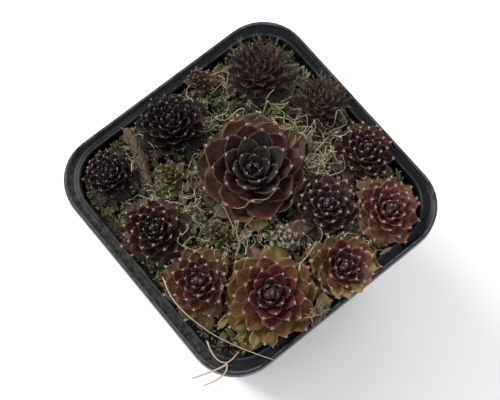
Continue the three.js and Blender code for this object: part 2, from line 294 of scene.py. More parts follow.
# %% [markdown]
# ## The pot
#
# A nursery pot is vacuum-formed from one thin black sheet: a foot ring to stand on, a tapered
# wall, a step where stacked pots catch, a collar, and a flat flange whose edge turns down. It could
# be lofted from curves, but extruding one face from ring to ring is how the form is understood:
# the face starts under the floor, runs out and up the outside, over the rim's two beads, down the
# inside, and ends as the floor's upper face, so that the wall is one closed skin.

# %% Pot sizes
POT_WIDTH = 90.0
POT_HEIGHT = 80.0
FOOT_WIDTH = 62.0
RIM_CORNER = 15.0
FOOT_CORNER = 9.0
WALL = 0.9
SHOULDER_HEIGHT = 66.0
SHOULDER_STEP = 1.4
COLLAR_FOOT = 2  # how far above the shoulder the collar starts
COLLAR_TAPER = 0.6
FLANGE = 3.6
FOOT_RING = 6.0
FOOT_RECESS = 1.5
FLOOR_HEIGHT = FOOT_RECESS + 1.2
LIP_DROP = 4.0
BEAD = 0.5
RIM_HALF = POT_WIDTH / 2
FOOT_HALF = FOOT_WIDTH / 2
COLLAR_HALF = RIM_HALF - FLANGE


def wall_half(z):
    """Half the width of the tapered wall outside, in millimetres."""
    top = COLLAR_HALF - COLLAR_TAPER - SHOULDER_STEP
    return FOOT_HALF + (top - FOOT_HALF) * z / SHOULDER_HEIGHT


def inner_half(z):
    """Half the width inside the pot, up to the rim."""
    if z <= SHOULDER_HEIGHT:
        return wall_half(z) - WALL
    collar = POT_HEIGHT - SHOULDER_HEIGHT - 2 * COLLAR_FOOT
    share = (z - SHOULDER_HEIGHT - COLLAR_FOOT) / collar
    return COLLAR_HALF - COLLAR_TAPER + COLLAR_TAPER * min(1, max(0, share)) - WALL


def wall_corner(half):
    """The radius of the corners where the pot is so wide."""
    return FOOT_CORNER + (RIM_CORNER - FOOT_CORNER) * (half - FOOT_HALF) / (RIM_HALF - FOOT_HALF)


print("inner width at the rim:", round(2 * inner_half(POT_HEIGHT), 1), "mm")

# %% [markdown]
# The pot and the mix in it have the same plan, a square with round corners that grow with its
# width. So one helper makes both: it bevels the corners of a plane, extrudes the face from ring to
# ring, and moves each new ring's points to where that ring's own corners are.

# %% Model a skin from rounded-square rings
CORNER_SEGMENTS = 10


def ring_place(spot, half, new_half):
    """Where a point of one rounded square goes on the next, which has a corner of its own."""
    corner, new_corner = wall_corner(half) * MM, wall_corner(new_half) * MM
    core, new_core = half * MM - corner, new_half * MM - new_corner
    middle = Vector((math.copysign(core, spot.x), math.copysign(core, spot.y)))
    new_middle = Vector((math.copysign(new_core, spot.x), math.copysign(new_core, spot.y)))
    return new_middle + (spot - middle) * (new_corner / corner)


def rounded_square_skin(name, rings):
    """A closed skin, extruded from one rounded-square face through (half width, height) rings."""
    half, z = rings[0]
    deselect_all()
    bpy.ops.mesh.primitive_plane_add(size=2 * half * MM, location=(0, 0, z * MM))
    made = bpy.context.object
    made.name = name
    bpy.ops.object.transform_apply(location=True, rotation=True, scale=True)
    bpy.ops.object.mode_set(mode="EDIT")
    bpy.ops.mesh.bevel(offset=wall_corner(half) * MM, segments=CORNER_SEGMENTS, affect="VERTICES")
    bpy.ops.mesh.select_all(action="SELECT")
    for new_half, new_z in rings[1:]:
        rise = (0, 0, (new_z - z) * MM)
        bpy.ops.mesh.extrude_region_move(TRANSFORM_OT_translate={"value": rise})
        edit = bmesh.from_edit_mesh(made.data)
        for vertex in edit.verts:
            if vertex.select:
                vertex.co.xy = ring_place(vertex.co.xy, half, new_half)
        bmesh.update_edit_mesh(made.data)
        half, z = new_half, new_z
    bpy.ops.mesh.select_all(action="SELECT")
    bpy.ops.mesh.normals_make_consistent(inside=False)
    bpy.ops.object.mode_set(mode="OBJECT")
    return made


print("corners at the foot and the rim:", wall_corner(FOOT_HALF), wall_corner(RIM_HALF), "mm")

# %% Model the pot
top = POT_HEIGHT
under_bead = top - BEAD - WALL
pot_rings = [
    (FOOT_HALF - FOOT_RING - 1, FOOT_RECESS),
    (FOOT_HALF - FOOT_RING - 0.3, 0.25),
    (FOOT_HALF - FOOT_RING, 0),
    (FOOT_HALF - 0.9, 0),
    (FOOT_HALF - 0.35, 0.12),
    (FOOT_HALF - 0.05, 0.5),
    (wall_half(1.2), 1.2),
    (wall_half(SHOULDER_HEIGHT) - 0.02, SHOULDER_HEIGHT - 0.4),
    (wall_half(SHOULDER_HEIGHT) + 0.2, SHOULDER_HEIGHT + 0.1),
    (COLLAR_HALF - 0.75, SHOULDER_HEIGHT + 1.7),
    (COLLAR_HALF - COLLAR_TAPER, SHOULDER_HEIGHT + 2.2),
    (COLLAR_HALF, under_bead - 0.5),
    (COLLAR_HALF + 0.4, under_bead),
    (RIM_HALF - WALL - 0.3, under_bead),
    (RIM_HALF - WALL, under_bead - 0.3),
    (RIM_HALF - WALL, top - LIP_DROP + 0.1),
    (RIM_HALF - WALL + 0.15, top - LIP_DROP),
    (RIM_HALF - 0.15, top - LIP_DROP),
    (RIM_HALF, top - LIP_DROP + 0.15),
    (RIM_HALF, top - 0.55),
    (RIM_HALF - 0.12, top - 0.2),
    (RIM_HALF - 0.4, top - 0.02),
    (RIM_HALF - 0.75, top - 0.02),
    (RIM_HALF - 1.05, top - 0.2),
    (RIM_HALF - 1.35, top - BEAD),
    (COLLAR_HALF + 0.65, top - BEAD),
    (COLLAR_HALF + 0.35, top - 0.3),
    (COLLAR_HALF + 0.05, top - 0.12),
    (COLLAR_HALF - 0.35, top - 0.12),
    (COLLAR_HALF - 0.7, top - 0.4),
    (inner_half(top - 1.2), top - 1.2),
    (inner_half(SHOULDER_HEIGHT + COLLAR_FOOT), SHOULDER_HEIGHT + COLLAR_FOOT),
    (inner_half(SHOULDER_HEIGHT), SHOULDER_HEIGHT),
    (inner_half(FLOOR_HEIGHT + 1), FLOOR_HEIGHT + 1),
    (inner_half(FLOOR_HEIGHT) - 0.8, FLOOR_HEIGHT),
]
pot = rounded_square_skin("pot_shell", pot_rings)
print("pot faces:", len(pot.data.polygons))

# %% [markdown]
# The drain holes are punched with cutters and a Boolean modifier. The cutters are primitives that
# do their work and are removed, so that no primitive is left as a piece. Shading by angle then
# keeps the holes' edges crisp and the corners round.

# %% Punch the drain holes
DRAIN_HOLE_RADIUS = 3.2
DRAIN_HOLE_SPREAD = 15.0
DRAIN_HOLES = [(0, 0), (1, 1), (-1, 1), (-1, -1), (1, -1)]
CRISP_ANGLE = math.radians(50)


def smooth_by_angle(piece):
    deselect_all()
    piece.select_set(True)
    bpy.context.view_layer.objects.active = piece
    bpy.ops.object.shade_smooth_by_angle(angle=CRISP_ANGLE)


for i, j in DRAIN_HOLES:
    deselect_all()
    spot = (i * DRAIN_HOLE_SPREAD * MM, j * DRAIN_HOLE_SPREAD * MM, FLOOR_HEIGHT * MM)
    bpy.ops.mesh.primitive_cylinder_add(
        vertices=28, radius=DRAIN_HOLE_RADIUS * MM, depth=10 * MM, location=spot)
    punch = bpy.context.object
    cut = pot.modifiers.new("drain_hole", "BOOLEAN")
    cut.operation = "DIFFERENCE"
    cut.solver = "EXACT"
    cut.object = punch
    bpy.context.view_layer.objects.active = pot
    bpy.ops.object.modifier_apply(modifier="drain_hole")
    bpy.data.objects.remove(punch)
smooth_by_angle(pot)
print("pot faces with its holes:", len(pot.data.polygons))

# %% [markdown]
# The plastic is black and semi-matt. The crests of the two beads are a blue-grey line, partly
# worn there by hands and by stacking and partly a painted highlight, and the flat between them
# stays dark. The wall has upright scuffs from the pots that it was stacked in, and dried splashes
# of mix near its foot and under its collar. Height bands on Object coordinates say where each
# belongs, and speckle breaks them up. The rim's left side is lighter, partly dust where it is
# handled most and partly a painted reflection: a dot product with the leftward direction finds it.

# %% Pot plastic
PLASTIC_BLACK = (0.0032, 0.0037, 0.0045, 1)
PLASTIC_DUST = (0.0095, 0.01, 0.0105, 1)
SCUFF_STRETCH = 0.03  # the scuffs' size across as a share of their height
LEFT_DUST_AND_REFLECTION = (33, 43)  # millimetres left of the middle between which the dust and the painted reflection set in
# Each kind of wear and painted light: colour, its speckle's scale, cover and softness, and the
# heights in millimetres between which it sets in, or None where it is found all over.
POT_WEAR_AND_PAINTED_LIGHT = {
    # Dust on the rim's left side, and a painted reflection there
    "dust and painted reflection": ((0.04, 0.0405, 0.0375), 620.0, 0.95, 0.5, (75, 79)),
    "scuffs": ((0.023, 0.0235, 0.025), 1100.0, 0.42, 0.25, (79, 77)),
    # The beads' crests are lighter: wear, and a painted highlight
    "crest wear and painted highlight": ((0.05, 0.054, 0.061), 260.0, 0.95, 0.3, (79.8, 79.98)),
    "mud": ((0.05, 0.039, 0.028), 520.0, 0.6, 0.2, (24, -4)),
    "splashes": ((0.055, 0.042, 0.03), 900.0, 0.16, 0.05, None),
}


def pot_plastic():
    made, tree, shader, spot = new_material("black pot plastic", 0.4, Specular_IOR_Level=0.09)
    height = add_node(tree, "ShaderNodeSeparateXYZ", {"Vector": spot}), "Z"
    dust = place_group(tree, speckle_group, spot, Base=PLASTIC_BLACK, Speck=PLASTIC_DUST,
                       Scale=90.0, Cover=0.42, Softness=0.3)
    inputs = {"Vector": spot, "Scale": (1, 1, SCUFF_STRETCH)}
    upright = add_node(tree, "ShaderNodeMapping", inputs), "Vector"
    inputs = {0: spot, 1: (-1, 0, 0)}
    leftward = add_node(tree, "ShaderNodeVectorMath", inputs, operation="DOT_PRODUCT"), "Value"
    left_dust_and_reflection = ease(tree, leftward, LEFT_DUST_AND_REFLECTION[0] * MM, LEFT_DUST_AND_REFLECTION[1] * MM)
    skin = (dust, "Colour")
    for kind, (colour, scale, cover, softness, band) in POT_WEAR_AND_PAINTED_LIGHT.items():
        vector = upright if kind == "scuffs" else spot
        wear_and_light = place_group(
            tree, speckle_group, vector, Scale=scale, Cover=cover, Softness=softness)
        mask = (wear_and_light, "Mask")
        # The rim's left side is lighter: dust, and a painted reflection
        if kind == "dust and painted reflection":
            mask = calculate(tree, "MULTIPLY", mask, left_dust_and_reflection)
        if band is not None:
            rising = ease(tree, height, band[0] * MM, band[1] * MM)
            mask = calculate(tree, "MULTIPLY", mask, rising)
        skin = mix(tree, mask, skin, (*colour, 1))
    grain = place_group(tree, grain_group, spot, Scale=1400.0, Coarse_share=0.45)
    give(tree, shader, "Base Color", skin)
    give(tree, shader, "Roughness", ease(tree, (dust, "Mask"), 0, 1, 0.3, 0.6))
    add_bump(tree, shader, (grain, "Height"), 0.25, 0.15)
    return made


finish_piece(pot, pot_plastic(), "pot")

# %% [markdown]
# ## The potting mix
#
# The mix is dark peat with bark. Its body is another rounded-square skin, a hair inside the pot,
# and its top is cut into small faces and heaped by a formula: a low mound with lumps. Crumbs,
# grit and fibres are then scattered on it as real little solids, because a bump alone looks flat
# in the gaps between the rosettes.

# %% Model the mix
GAP = 0.3
SOIL_LEVEL = 74.5
SOIL_MOUND = 2.5
SOIL_LUMP = 0.5
CRUMB_HEIGHT = 0.55
CRUMB_SCALE = 0.55


def soil_height(x, y):
    """The height of the mix, in millimetres, with its crumbs as fine noise."""
    out = min(1, math.hypot(x, y) / RIM_HALF)
    lumps = math.sin(0.9 * x + 1.3) * math.cos(0.8 * y) + math.sin(0.55 * x - 0.7 * y + 2)
    crumbs = noise.fractal(Vector((x, y, 0)) * CRUMB_SCALE, 0.9, 2.1, 4)
    mound = SOIL_LEVEL + SOIL_MOUND * (1 - out * out)
    return mound + 0.5 * SOIL_LUMP * lumps + CRUMB_HEIGHT * crumbs


mix_edge = inner_half(SOIL_LEVEL) - GAP
mix_rings = [
    (inner_half(FLOOR_HEIGHT) - 1.2, FLOOR_HEIGHT + GAP),
    (inner_half(SHOULDER_HEIGHT - GAP) - 1.5 * GAP, SHOULDER_HEIGHT - GAP),
    (inner_half(SHOULDER_HEIGHT + COLLAR_FOOT) - GAP, SHOULDER_HEIGHT + COLLAR_FOOT + GAP),
    (mix_edge, SOIL_LEVEL),
]
soil = rounded_square_skin("potting_mix_body", mix_rings)
print("mix:", round(2 * mix_edge, 1), "mm wide at its top")

# %% Slice and heap the top of the mix
SLICE = 1.15  # millimetres between the cuts
TOP_FROM = (SOIL_LEVEL - 0.1) * MM


def is_top(face):
    return all(v.co.z > TOP_FROM for v in face.verts)


bpy.ops.object.mode_set(mode="EDIT")
for way in ((1, 0, 0), (0, 1, 0)):
    for cut in range(1, int(2 * mix_edge / SLICE) + 1):
        at = cut * SLICE - mix_edge
        bpy.ops.mesh.select_all(action="DESELECT")
        edit = bmesh.from_edit_mesh(soil.data)
        for face in filter(is_top, edit.faces):
            face.select_set(True)
        bmesh.update_edit_mesh(soil.data)
        bpy.ops.mesh.bisect(plane_co=[v * at * MM for v in way], plane_no=way)
bpy.ops.object.mode_set(mode="OBJECT")
for vertex in soil.data.vertices:
    if vertex.co.z > TOP_FROM:
        vertex.co.z = soil_height(vertex.co.x / MM, vertex.co.y / MM) * MM
smooth_by_angle(soil)
print("mix faces:", len(soil.data.polygons))

# %% [markdown]
# Peat is matt and almost black when moist. A coarse speckle makes it brown where bark shows, a
# fine one scatters pale flecks, and a deep grain roughens it.


# %% Peat material
def peat():
    made, tree, shader, spot = new_material("peat and bark", 0.95, Specular_IOR_Level=0.25)
    bark = place_group(tree, speckle_group, spot, Base=(0.013, 0.009, 0.0065, 1),
                       Speck=(0.04, 0.025, 0.0155, 1), Scale=420.0, Cover=0.48, Softness=0.12)
    flecks = place_group(tree, speckle_group, spot, Base=(bark, "Colour"),
                         Speck=(0.15, 0.12, 0.085, 1), Scale=1500.0, Cover=0.17, Softness=0.04)
    grain = place_group(tree, grain_group, spot, Scale=1200.0, Coarse_share=0.6)
    give(tree, shader, "Base Color", (flecks, "Colour"))
    add_bump(tree, shader, (grain, "Height"), 0.9, 0.8)
    return made


finish_piece(soil, peat(), "potting_mix")

# %% [markdown]
# ## One leaf
#
# A houseleek's leaf is a lens: flat or slightly hollow above, rounded below, widest past its
# middle, and drawn to a short point. It is modelled once as a straight blank of unit length and
# width: a grid is shaped column by column to the leaf's outline, doubled, the copy's inside is
# lowered, and the two skins are welded at the margin. A fine blank serves the hen and lighter
# ones the chicks. Each leaf of a rosette is then a bent copy of a blank.

# %% Outlines of the leaves
# Each point is (share of the length, share of the half width).
HEN_OUTLINE = [(0, 0.42), (0.2, 0.6), (0.42, 0.84), (0.6, 0.99), (0.72, 0.97), (0.84, 0.74),
               (0.93, 0.4), (1, 0.02)]
CHICK_OUTLINE = [(0, 0.5), (0.25, 0.72), (0.48, 0.94), (0.65, 1.0), (0.79, 0.86), (0.91, 0.5),
                 (1, 0.03)]
SPIKY_OUTLINE = [(0, 0.62), (0.25, 0.92), (0.45, 1.0), (0.7, 0.74), (0.88, 0.38), (1, 0.03)]


def read_curve(points, u):
    """The value at u on straight lines between an outline's points."""
    for (u0, w0), (u1, w1) in zip(points, points[1:]):
        if u <= u1:
            t = (u - u0) / (u1 - u0)
            return w0 + (w1 - w0) * t
    return points[-1][1]


print("the hen's leaf halfway:", round(read_curve(HEN_OUTLINE, 0.5), 2), "of its full width")

# %% Model the leaf blanks
TIP_CROWDING = 0.85  # below 1, the grid's columns crowd towards the tip
LEAST_WIDTH = 0.03  # keeps the mark across from growing without end at the tip


def take_shape(made):
    """Keep a modelled thing's points and faces, and take its object away."""
    points = [tuple(v.co) for v in made.data.vertices]
    faces = [tuple(p.vertices) for p in made.data.polygons]
    bpy.data.objects.remove(made)
    return points, faces


def part_corners(mesh):
    """Cut from each corner into its faces, which keeps the two skins apart there."""
    bpy.ops.mesh.select_all(action="DESELECT")
    edit = bmesh.from_edit_mesh(mesh)
    for corner in [vertex for vertex in edit.verts if len(vertex.link_faces) == 2]:
        corner.select_set(True)
        for face in corner.link_faces:
            ring = list(face.verts)
            ring[(ring.index(corner) + 2) % 4].select_set(True)
    bmesh.update_edit_mesh(mesh)
    bpy.ops.mesh.vert_connect()


def leaf_blank(name, outline, columns, rows):
    """The blank runs from u = 0 to 1 along X, v = -1 to 1 along Y, and w = 0 to -1 down Z."""
    deselect_all()
    bpy.ops.mesh.primitive_grid_add(
        x_subdivisions=columns, y_subdivisions=rows, size=2, location=(0, 0, 0))
    made = bpy.context.object
    made.name = name
    bpy.ops.object.mode_set(mode="EDIT")
    bpy.ops.transform.resize(value=(0.5, 1, 1))
    bpy.ops.transform.translate(value=(0.5, 0, 0))
    bpy.ops.mesh.duplicate()
    bpy.ops.mesh.flip_normals()
    edit = bmesh.from_edit_mesh(made.data)
    for vertex in edit.verts:
        inside = 0.001 < vertex.co.x < 0.999 and abs(vertex.co.y) < 0.999
        vertex.select = vertex.select and inside
    bmesh.update_edit_mesh(made.data)
    bpy.ops.transform.translate(value=(0, 0, -1))
    edit = bmesh.from_edit_mesh(made.data)
    for vertex in edit.verts:
        u, v = vertex.co.x, vertex.co.y
        belly = math.sqrt(max(0, 1 - v * v)) * min(1, 4 * (1 - u)) ** 0.6
        vertex.co.z *= belly
        vertex.co.x = u ** TIP_CROWDING
        vertex.co.y = v * read_curve(outline, u ** TIP_CROWDING)
    bmesh.update_edit_mesh(made.data)
    bpy.ops.mesh.select_all(action="SELECT")
    bpy.ops.mesh.remove_doubles(threshold=0.0001)
    part_corners(made.data)
    bpy.ops.mesh.select_all(action="SELECT")
    bpy.ops.mesh.normals_make_consistent(inside=False)
    bpy.ops.object.mode_set(mode="OBJECT")
    points, faces = take_shape(made)
    print(name, len(faces), "faces")
    # The marks along and across tell the leaf's material where on the leaf a point is.
    along = [u for u, v, w in points]
    across = [v / max(LEAST_WIDTH, read_curve(outline, u)) for u, v, w in points]
    return {"points": points, "faces": faces, "outline": outline,
            "marks": {"along": along, "across": across}}


HEN_BLANK = leaf_blank("hen_leaf_blank", HEN_OUTLINE, 12, 8)
CHICK_BLANK = leaf_blank("chick_leaf_blank", CHICK_OUTLINE, 8, 4)
SPIKY_BLANK = leaf_blank("spiky_leaf_blank", SPIKY_OUTLINE, 7, 4)

# %% [markdown]
# ## Where the rosettes stand
#
# The rosettes' places, sizes and leanings repeat those of the solid model. A rosette's leaves sit
# on a golden-angle spiral. Age runs from 0 at the bud to 1 at the outermost full leaf, and it
# drives everything: young leaves are short, upright and closed over the bud, old ones are long
# and spread.

# %% Rosettes
GOLDEN_ANGLE = math.pi * (3 - math.sqrt(5))
# The node; where the axis meets the seat, x and y; the seat's height; radius and height; turn of
# the outermost leaf; leaning and the way that it leans to, in degrees; the solid's number of
# leaves; this rosette's own number; how many old ones lie in the skirt; and its kind.
ROSETTE_FIELDS = ("node", "at", "seat", "radius", "height", "turn", "lean", "lean_to", "coarse",
                  "leaves", "skirt", "style")
ROSETTES = [
    ("hen_rosette", (4, 3), 80.5, 20, 13.5, 20, 3, -100, 30, 38, 8, "hen"),
    ("chick_01", (13.5, -19), 80.3, 11.5, 9.5, 75, 5, -60, 17, 38, 8, "purple"),
    ("chick_02", (34, -13.5), 80, 10.5, 9, 10, 8, 0, 17, 42, 8, "maroon"),
    ("chick_03", (27, -31.5), 80, 11.5, 9, 140, 10, -50, 17, 43, 8, "rose"),
    ("chick_04", (5.5, -36.5), 80, 12, 9, 200, 10, -90, 17, 40, 9, "crimson"),
    ("chick_05", (-16.5, -30), 79.8, 16, 10.5, 60, 8, -125, 17, 46, 9, "crimson"),
    ("chick_06", (-30.5, -13.5), 79.8, 12, 9, 310, 8, 180, 17, 40, 9, "wine"),
    ("chick_07", (-30.5, 7.5), 79.8, 11, 9, 255, 6, 180, 17, 42, 9, "plum"),
    ("chick_08", (-5.5, 31), 79.8, 11.5, 9.5, 100, 8, 95, 17, 46, 8, "dark"),
    ("chick_09", (-30, 30.5), 79.5, 8.5, 8, 30, 8, 140, 17, 40, 8, "dark"),
    ("chick_10", (26, 27.5), 79.8, 12, 11, 170, 8, 55, 17, 64, 9, "spiky"),
    ("chick_11", (34.5, 8), 79.8, 9.5, 9, 285, 8, 20, 17, 54, 9, "ruddy"),
    ("pup_01", (-16.5, -5), 79.2, 5.2, 5.5, 0, 10, 210, 9, 22, 3, "green"),
    ("pup_02", (-15.5, 18), 79.2, 6, 6, 90, 12, 140, 9, 24, 3, "green"),
    ("pup_03", (10.5, 37.5), 79.2, 5.2, 5.5, 40, 8, 90, 9, 22, 3, "garnet"),
    ("pup_04", (-2, -18.5), 79.2, 5, 5.5, 200, 6, 250, 9, 20, 3, "woolly"),
]
HEADS = [dict(zip(ROSETTE_FIELDS, row)) for row in ROSETTES]
HEN = HEADS[0]
print("rosettes:", len(HEADS))

# %% [markdown]
# Rosettes that grow side by side share the room: each keeps to its own cell, whose upright sides
# part it from its neighbours in proportion to their sizes. The rim's eight sides close the cells
# outwards. A leaf that would leave its cell is shortened, and its tip turns up instead.

# %% Room for each rosette
HEN_SHARE = 0.9  # the hen's hold on the room, which its neighbours press into
LEAST_FACING = 0.2  # the cosine past which a leaf runs along a boundary, not at it


def press_of(head):
    return HEN_SHARE * head["radius"] if head is HEN else head["radius"]


def boundaries(head):
    """Upright planes that part a rosette from its neighbours and the rim: (angle, distance)."""
    x, y = head["at"]
    limits = []
    for other in HEADS:
        if other is head:
            continue
        dx, dy = other["at"][0] - x, other["at"][1] - y
        apart = math.hypot(dx, dy)
        share = (apart ** 2 + press_of(head) ** 2 - press_of(other) ** 2) / (2 * apart)
        limits.append((math.atan2(dy, dx), share - GAP / 2))
    wall = RIM_HALF - 0.5
    corner = math.sqrt(2) * (wall - RIM_CORNER) + RIM_CORNER
    for side in range(4):
        flat = side * math.pi / 2
        for angle, reach in ((flat, wall), (flat + math.pi / 4, corner)):
            limits.append((angle, reach - x * math.cos(angle) - y * math.sin(angle)))
    return limits


def room_along(limits, azimuth, half_width):
    """How far a leaf so wide can reach before it meets a boundary that it faces."""
    room = math.inf
    for angle, distance in limits:
        facing = math.cos(azimuth - angle)
        if facing > LEAST_FACING:
            slack = 0.5 * half_width * math.sqrt(1 - facing * facing)
            room = min(room, (distance - slack) / facing)
    return room


def inside_wall(x, y, z=POT_HEIGHT):
    """How far inside the pot's wall a place is, in millimetres."""
    half = inner_half(min(z, POT_HEIGHT))
    corner = wall_corner(half)
    qx, qy = abs(x) - (half - corner), abs(y) - (half - corner)
    return corner - math.hypot(max(qx, 0), max(qy, 0)) - min(max(qx, qy), 0)


print("the hen's room to the right:", round(room_along(boundaries(HEN), 0, 0), 1), "mm")

# %% [markdown]
# The shape of each kind of leaf, as functions of its age. Distances out from the axis are shares
# of the rosette's radius and heights are shares of its height: the leaf's middle line is a
# quadratic curve from root over bend to tip. The hen is a cup, whose middle leaves stand highest
# round a sunken bud. The chicks are flatter, and two of them are narrow-leaved and shaggy.


# %% Leaf shapes by age
def hen_tip_height(a):
    rise = 0.66 + 0.3 * math.sin(math.pi * min(1, a / 0.75))
    return rise + (0.25 - 0.66) * max(0, (a - 0.4) / 0.6) ** 1.6


LEAF_SHAPES = {
    "hen": dict(
        blank=HEN_BLANK,
        root=lambda a: (0.015 + 0.245 * a, 0.3 * (1 - a)),
        bend=lambda a: (0.07 + 0.67 * a, 0.5 - 0.5 * a),
        tip=lambda a: (0.015 + 0.985 * a ** 0.78, hen_tip_height(a)),
        half_width=lambda a: 0.075 + 0.255 * a ** 0.82,
        thickness=lambda a: 0.075 + 0.01 * a,
        cup=0.34,
    ),
    "chick": dict(
        blank=CHICK_BLANK,
        root=lambda a: (0.015 + 0.225 * a, 0.34 * (1 - a)),
        bend=lambda a: (0.1 + 0.67 * a, 0.6 - 0.56 * a),
        tip=lambda a: (0.02 + 0.98 * a ** 0.74, 1 - 0.76 * a ** 1.8),
        half_width=lambda a: 0.09 + 0.165 * a ** 0.9,
        thickness=lambda a: 0.085 + 0.02 * a,
        cup=0.34,
    ),
    "spiky": dict(
        blank=SPIKY_BLANK,
        root=lambda a: (0.015 + 0.225 * a, 0.3 * (1 - a)),
        bend=lambda a: (0.1 + 0.54 * a, 0.62 - 0.5 * a),
        tip=lambda a: (0.03 + 0.97 * a ** 0.72, 1.08 - 0.72 * a ** 1.5),
        half_width=lambda a: 0.065 + 0.08 * a,
        thickness=lambda a: 0.07 + 0.02 * a,
        cup=0.3,
    ),
}
LEAF_SHAPES["ruddy"] = LEAF_SHAPES["spiky"]


def shape_of(head):
    return LEAF_SHAPES.get(head["style"], LEAF_SHAPES["chick"])


outer_half = shape_of(HEN)["half_width"](1) * HEN["radius"]
print("the hen's outer leaves are", round(2 * outer_half, 1), "mm wide")

# %% [markdown]
# A leaf is a bent blank. Its spine gives a point and a direction for each step along it; the width
# lies square to the spine, and the leaf's upper face looks at the rosette's axis. Below the full
# leaves lies a skirt of the oldest ones, longer, lower and greener, some of them already dry: it
# fills the gaps between the rosettes as far as the neighbours and the wall allow.

# %% Tilt, lean and lift
UP = Vector((0, 0, 1))
RIM_REST = POT_HEIGHT + 0.5  # the height at which a leaf lies on the rim
LIFT_FROM = 2.5  # how far inside the wall the lift sets in
LIFT_RAMP = 2.0  # over how many millimetres it comes to its full share
LIFT_SHARE = 0.93  # of the way up to that height


def tilted(place, way, rise):
    """A place turned to a way and raised by an angle, both in radians."""
    return place @ Matrix.Rotation(way, 4, "Z") @ Matrix.Rotation(-rise, 4, "Y")


def head_matrix(head):
    """From the rosette's own frame to the pot's, in millimetres."""
    toward = math.radians(head["lean_to"])
    axis = Vector((-math.sin(toward), math.cos(toward), 0))
    turn = Matrix.Rotation(math.radians(head["lean"]), 4, axis)
    return Matrix.Translation((*head["at"], head["seat"])) @ turn


def clear_of_rim(point):
    """Lift what lies over the rim until it rests on it."""
    share = min(1, max(0, (LIFT_FROM - inside_wall(point.x, point.y)) / LIFT_RAMP))
    if point.z < RIM_REST:
        point.z += LIFT_SHARE * share * (RIM_REST - point.z)
    return point


lifted = clear_of_rim(Vector((RIM_HALF, 0, RIM_REST - 1)))
print("a point 1 mm too low at the rim is lifted to", round(lifted.z, 2), "mm")

# %% Bend one leaf
DRY_SHARE = 0.18  # of the skirt's leaves
SKIRT_AGE = 0.3  # how much older they are than the oldest full leaf
SKIRT_REACH = (1.1, 1.28)  # of the radius, and
SKIRT_SINK = (-0.16, 0.02)  # of the height: where their tips lie
TURN_PLAY = 8  # degrees to either side, for the oldest leaf
TWIST_PLAY = 14
THINNEST = 0.5  # millimetres
TIP_RISE = 0.75  # the share of what a leaf loses in reach that its tip turns up by
SKIRT_TIP_RISE = 0.35
NOISE_STRIDE = 60  # sets the waves of two leaves apart


class Leaf:
    """One leaf's middle line, size and marks, in its rosette's frame."""

    def __init__(self, head, order, limits, dice):
        """Orders below 0 are the bud's own tiny leaves, which close over its middle."""
        shape = shape_of(head)
        count = head["leaves"]
        radius, height = head["radius"], head["height"]
        skirt = order >= count
        age = min(1, max(0, order) / (count - 1))
        outermost = (head["coarse"] - 1) * GOLDEN_ANGLE + math.radians(head["turn"])
        self.azimuth = outermost - (count - 1 - order) * GOLDEN_ANGLE
        self.azimuth += math.radians(dice.uniform(-TURN_PLAY, TURN_PLAY)) * age
        self.age = age + (SKIRT_AGE if skirt else 0)
        self.tint = dice.random()
        self.dry = float(skirt and dice.random() < DRY_SHARE)
        self.blank = shape["blank"]
        self.half_width = shape["half_width"](age) * radius * dice.uniform(0.92, 1.06)
        self.half_width *= 1 - 0.35 * self.dry
        self.thickness = max(THINNEST, shape["thickness"](age) * radius) * (1 - 0.6 * self.dry)
        self.cup = (shape["cup"] + 0.4 * self.dry) * dice.uniform(0.8, 1.2)
        self.wave = 0.22 * min(1, 0.3 + age) + 0.3 * self.dry
        twist = math.radians(dice.uniform(-TWIST_PLAY, TWIST_PLAY))
        self.twist = twist * age * (1 + 2 * self.dry)
        middle = [shape[key](age) for key in ("root", "bend", "tip")]
        if skirt:
            reach, sink = dice.uniform(*SKIRT_REACH), dice.uniform(*SKIRT_SINK)
            middle = [(0.2, -0.02), (0.75, 0.04), (reach, sink)]
        if order < 0:
            lean = -0.011 * order
            middle = [(0.02, 0.4), (0.05 + lean, 0.7), (lean, 1.0 + 0.035 * order)]
            self.half_width *= 0.8
        self.root, self.bend, self.tip = [Vector((a * radius, b * height)) for a, b in middle]
        if 0 <= order < count - 4:
            self.tip *= dice.uniform(0.93, 1.04)
        room = room_along(limits, self.azimuth, self.half_width)
        excess = max(0, self.tip.x - room)
        self.tip.x -= excess
        self.tip.y += (SKIRT_TIP_RISE if skirt else TIP_RISE) * excess
        self.out = Vector((math.cos(self.azimuth), math.sin(self.azimuth), 0))
        self.across = Vector((-math.sin(self.azimuth), math.cos(self.azimuth), 0))
        while skirt and self.tip.x > 2 and self.depth_of_tip(head) < 1:
            self.tip.x -= 0.3
            room = min(room, self.tip.x)
        self.bend.x = min(self.bend.x, max(self.root.x + 0.2, room - 0.8))

    def depth_of_tip(self, head):
        """How far inside the wall the tip ends."""
        x, y = head["at"]
        return inside_wall(x + self.out.x * self.tip.x, y + self.out.y * self.tip.x)

    def frame_at(self, u):
        """The spine's point, its direction and the way its upper face looks."""
        middle = self.root * (1 - u) ** 2 + self.bend * 2 * u * (1 - u) + self.tip * u * u
        along = ((self.bend - self.root) * (1 - u) + (self.tip - self.bend) * u).normalized()
        point = self.out * middle.x + UP * middle.y
        return point, self.out * along.x + UP * along.y, self.out * -along.y + UP * along.x

    def place(self, u, v, w):
        """A blank's point on the bent leaf; v is the share of the full half width."""
        point, along, normal = self.frame_at(u)
        turn = self.twist * u
        across = self.across * math.cos(turn) + normal * math.sin(turn)
        normal = normal * math.cos(turn) - self.across * math.sin(turn)
        x = v * self.half_width
        wave = noise.noise(Vector((3.1 * u, 2.3 * v, NOISE_STRIDE * self.tint)))
        lift = self.cup * abs(v) ** 1.7 * self.half_width * (1 - 0.3 * u)
        lift += self.wave * self.half_width * wave
        thick = self.thickness * (1 - 0.35 * u)
        return point + across * x + normal * (lift + w * thick)


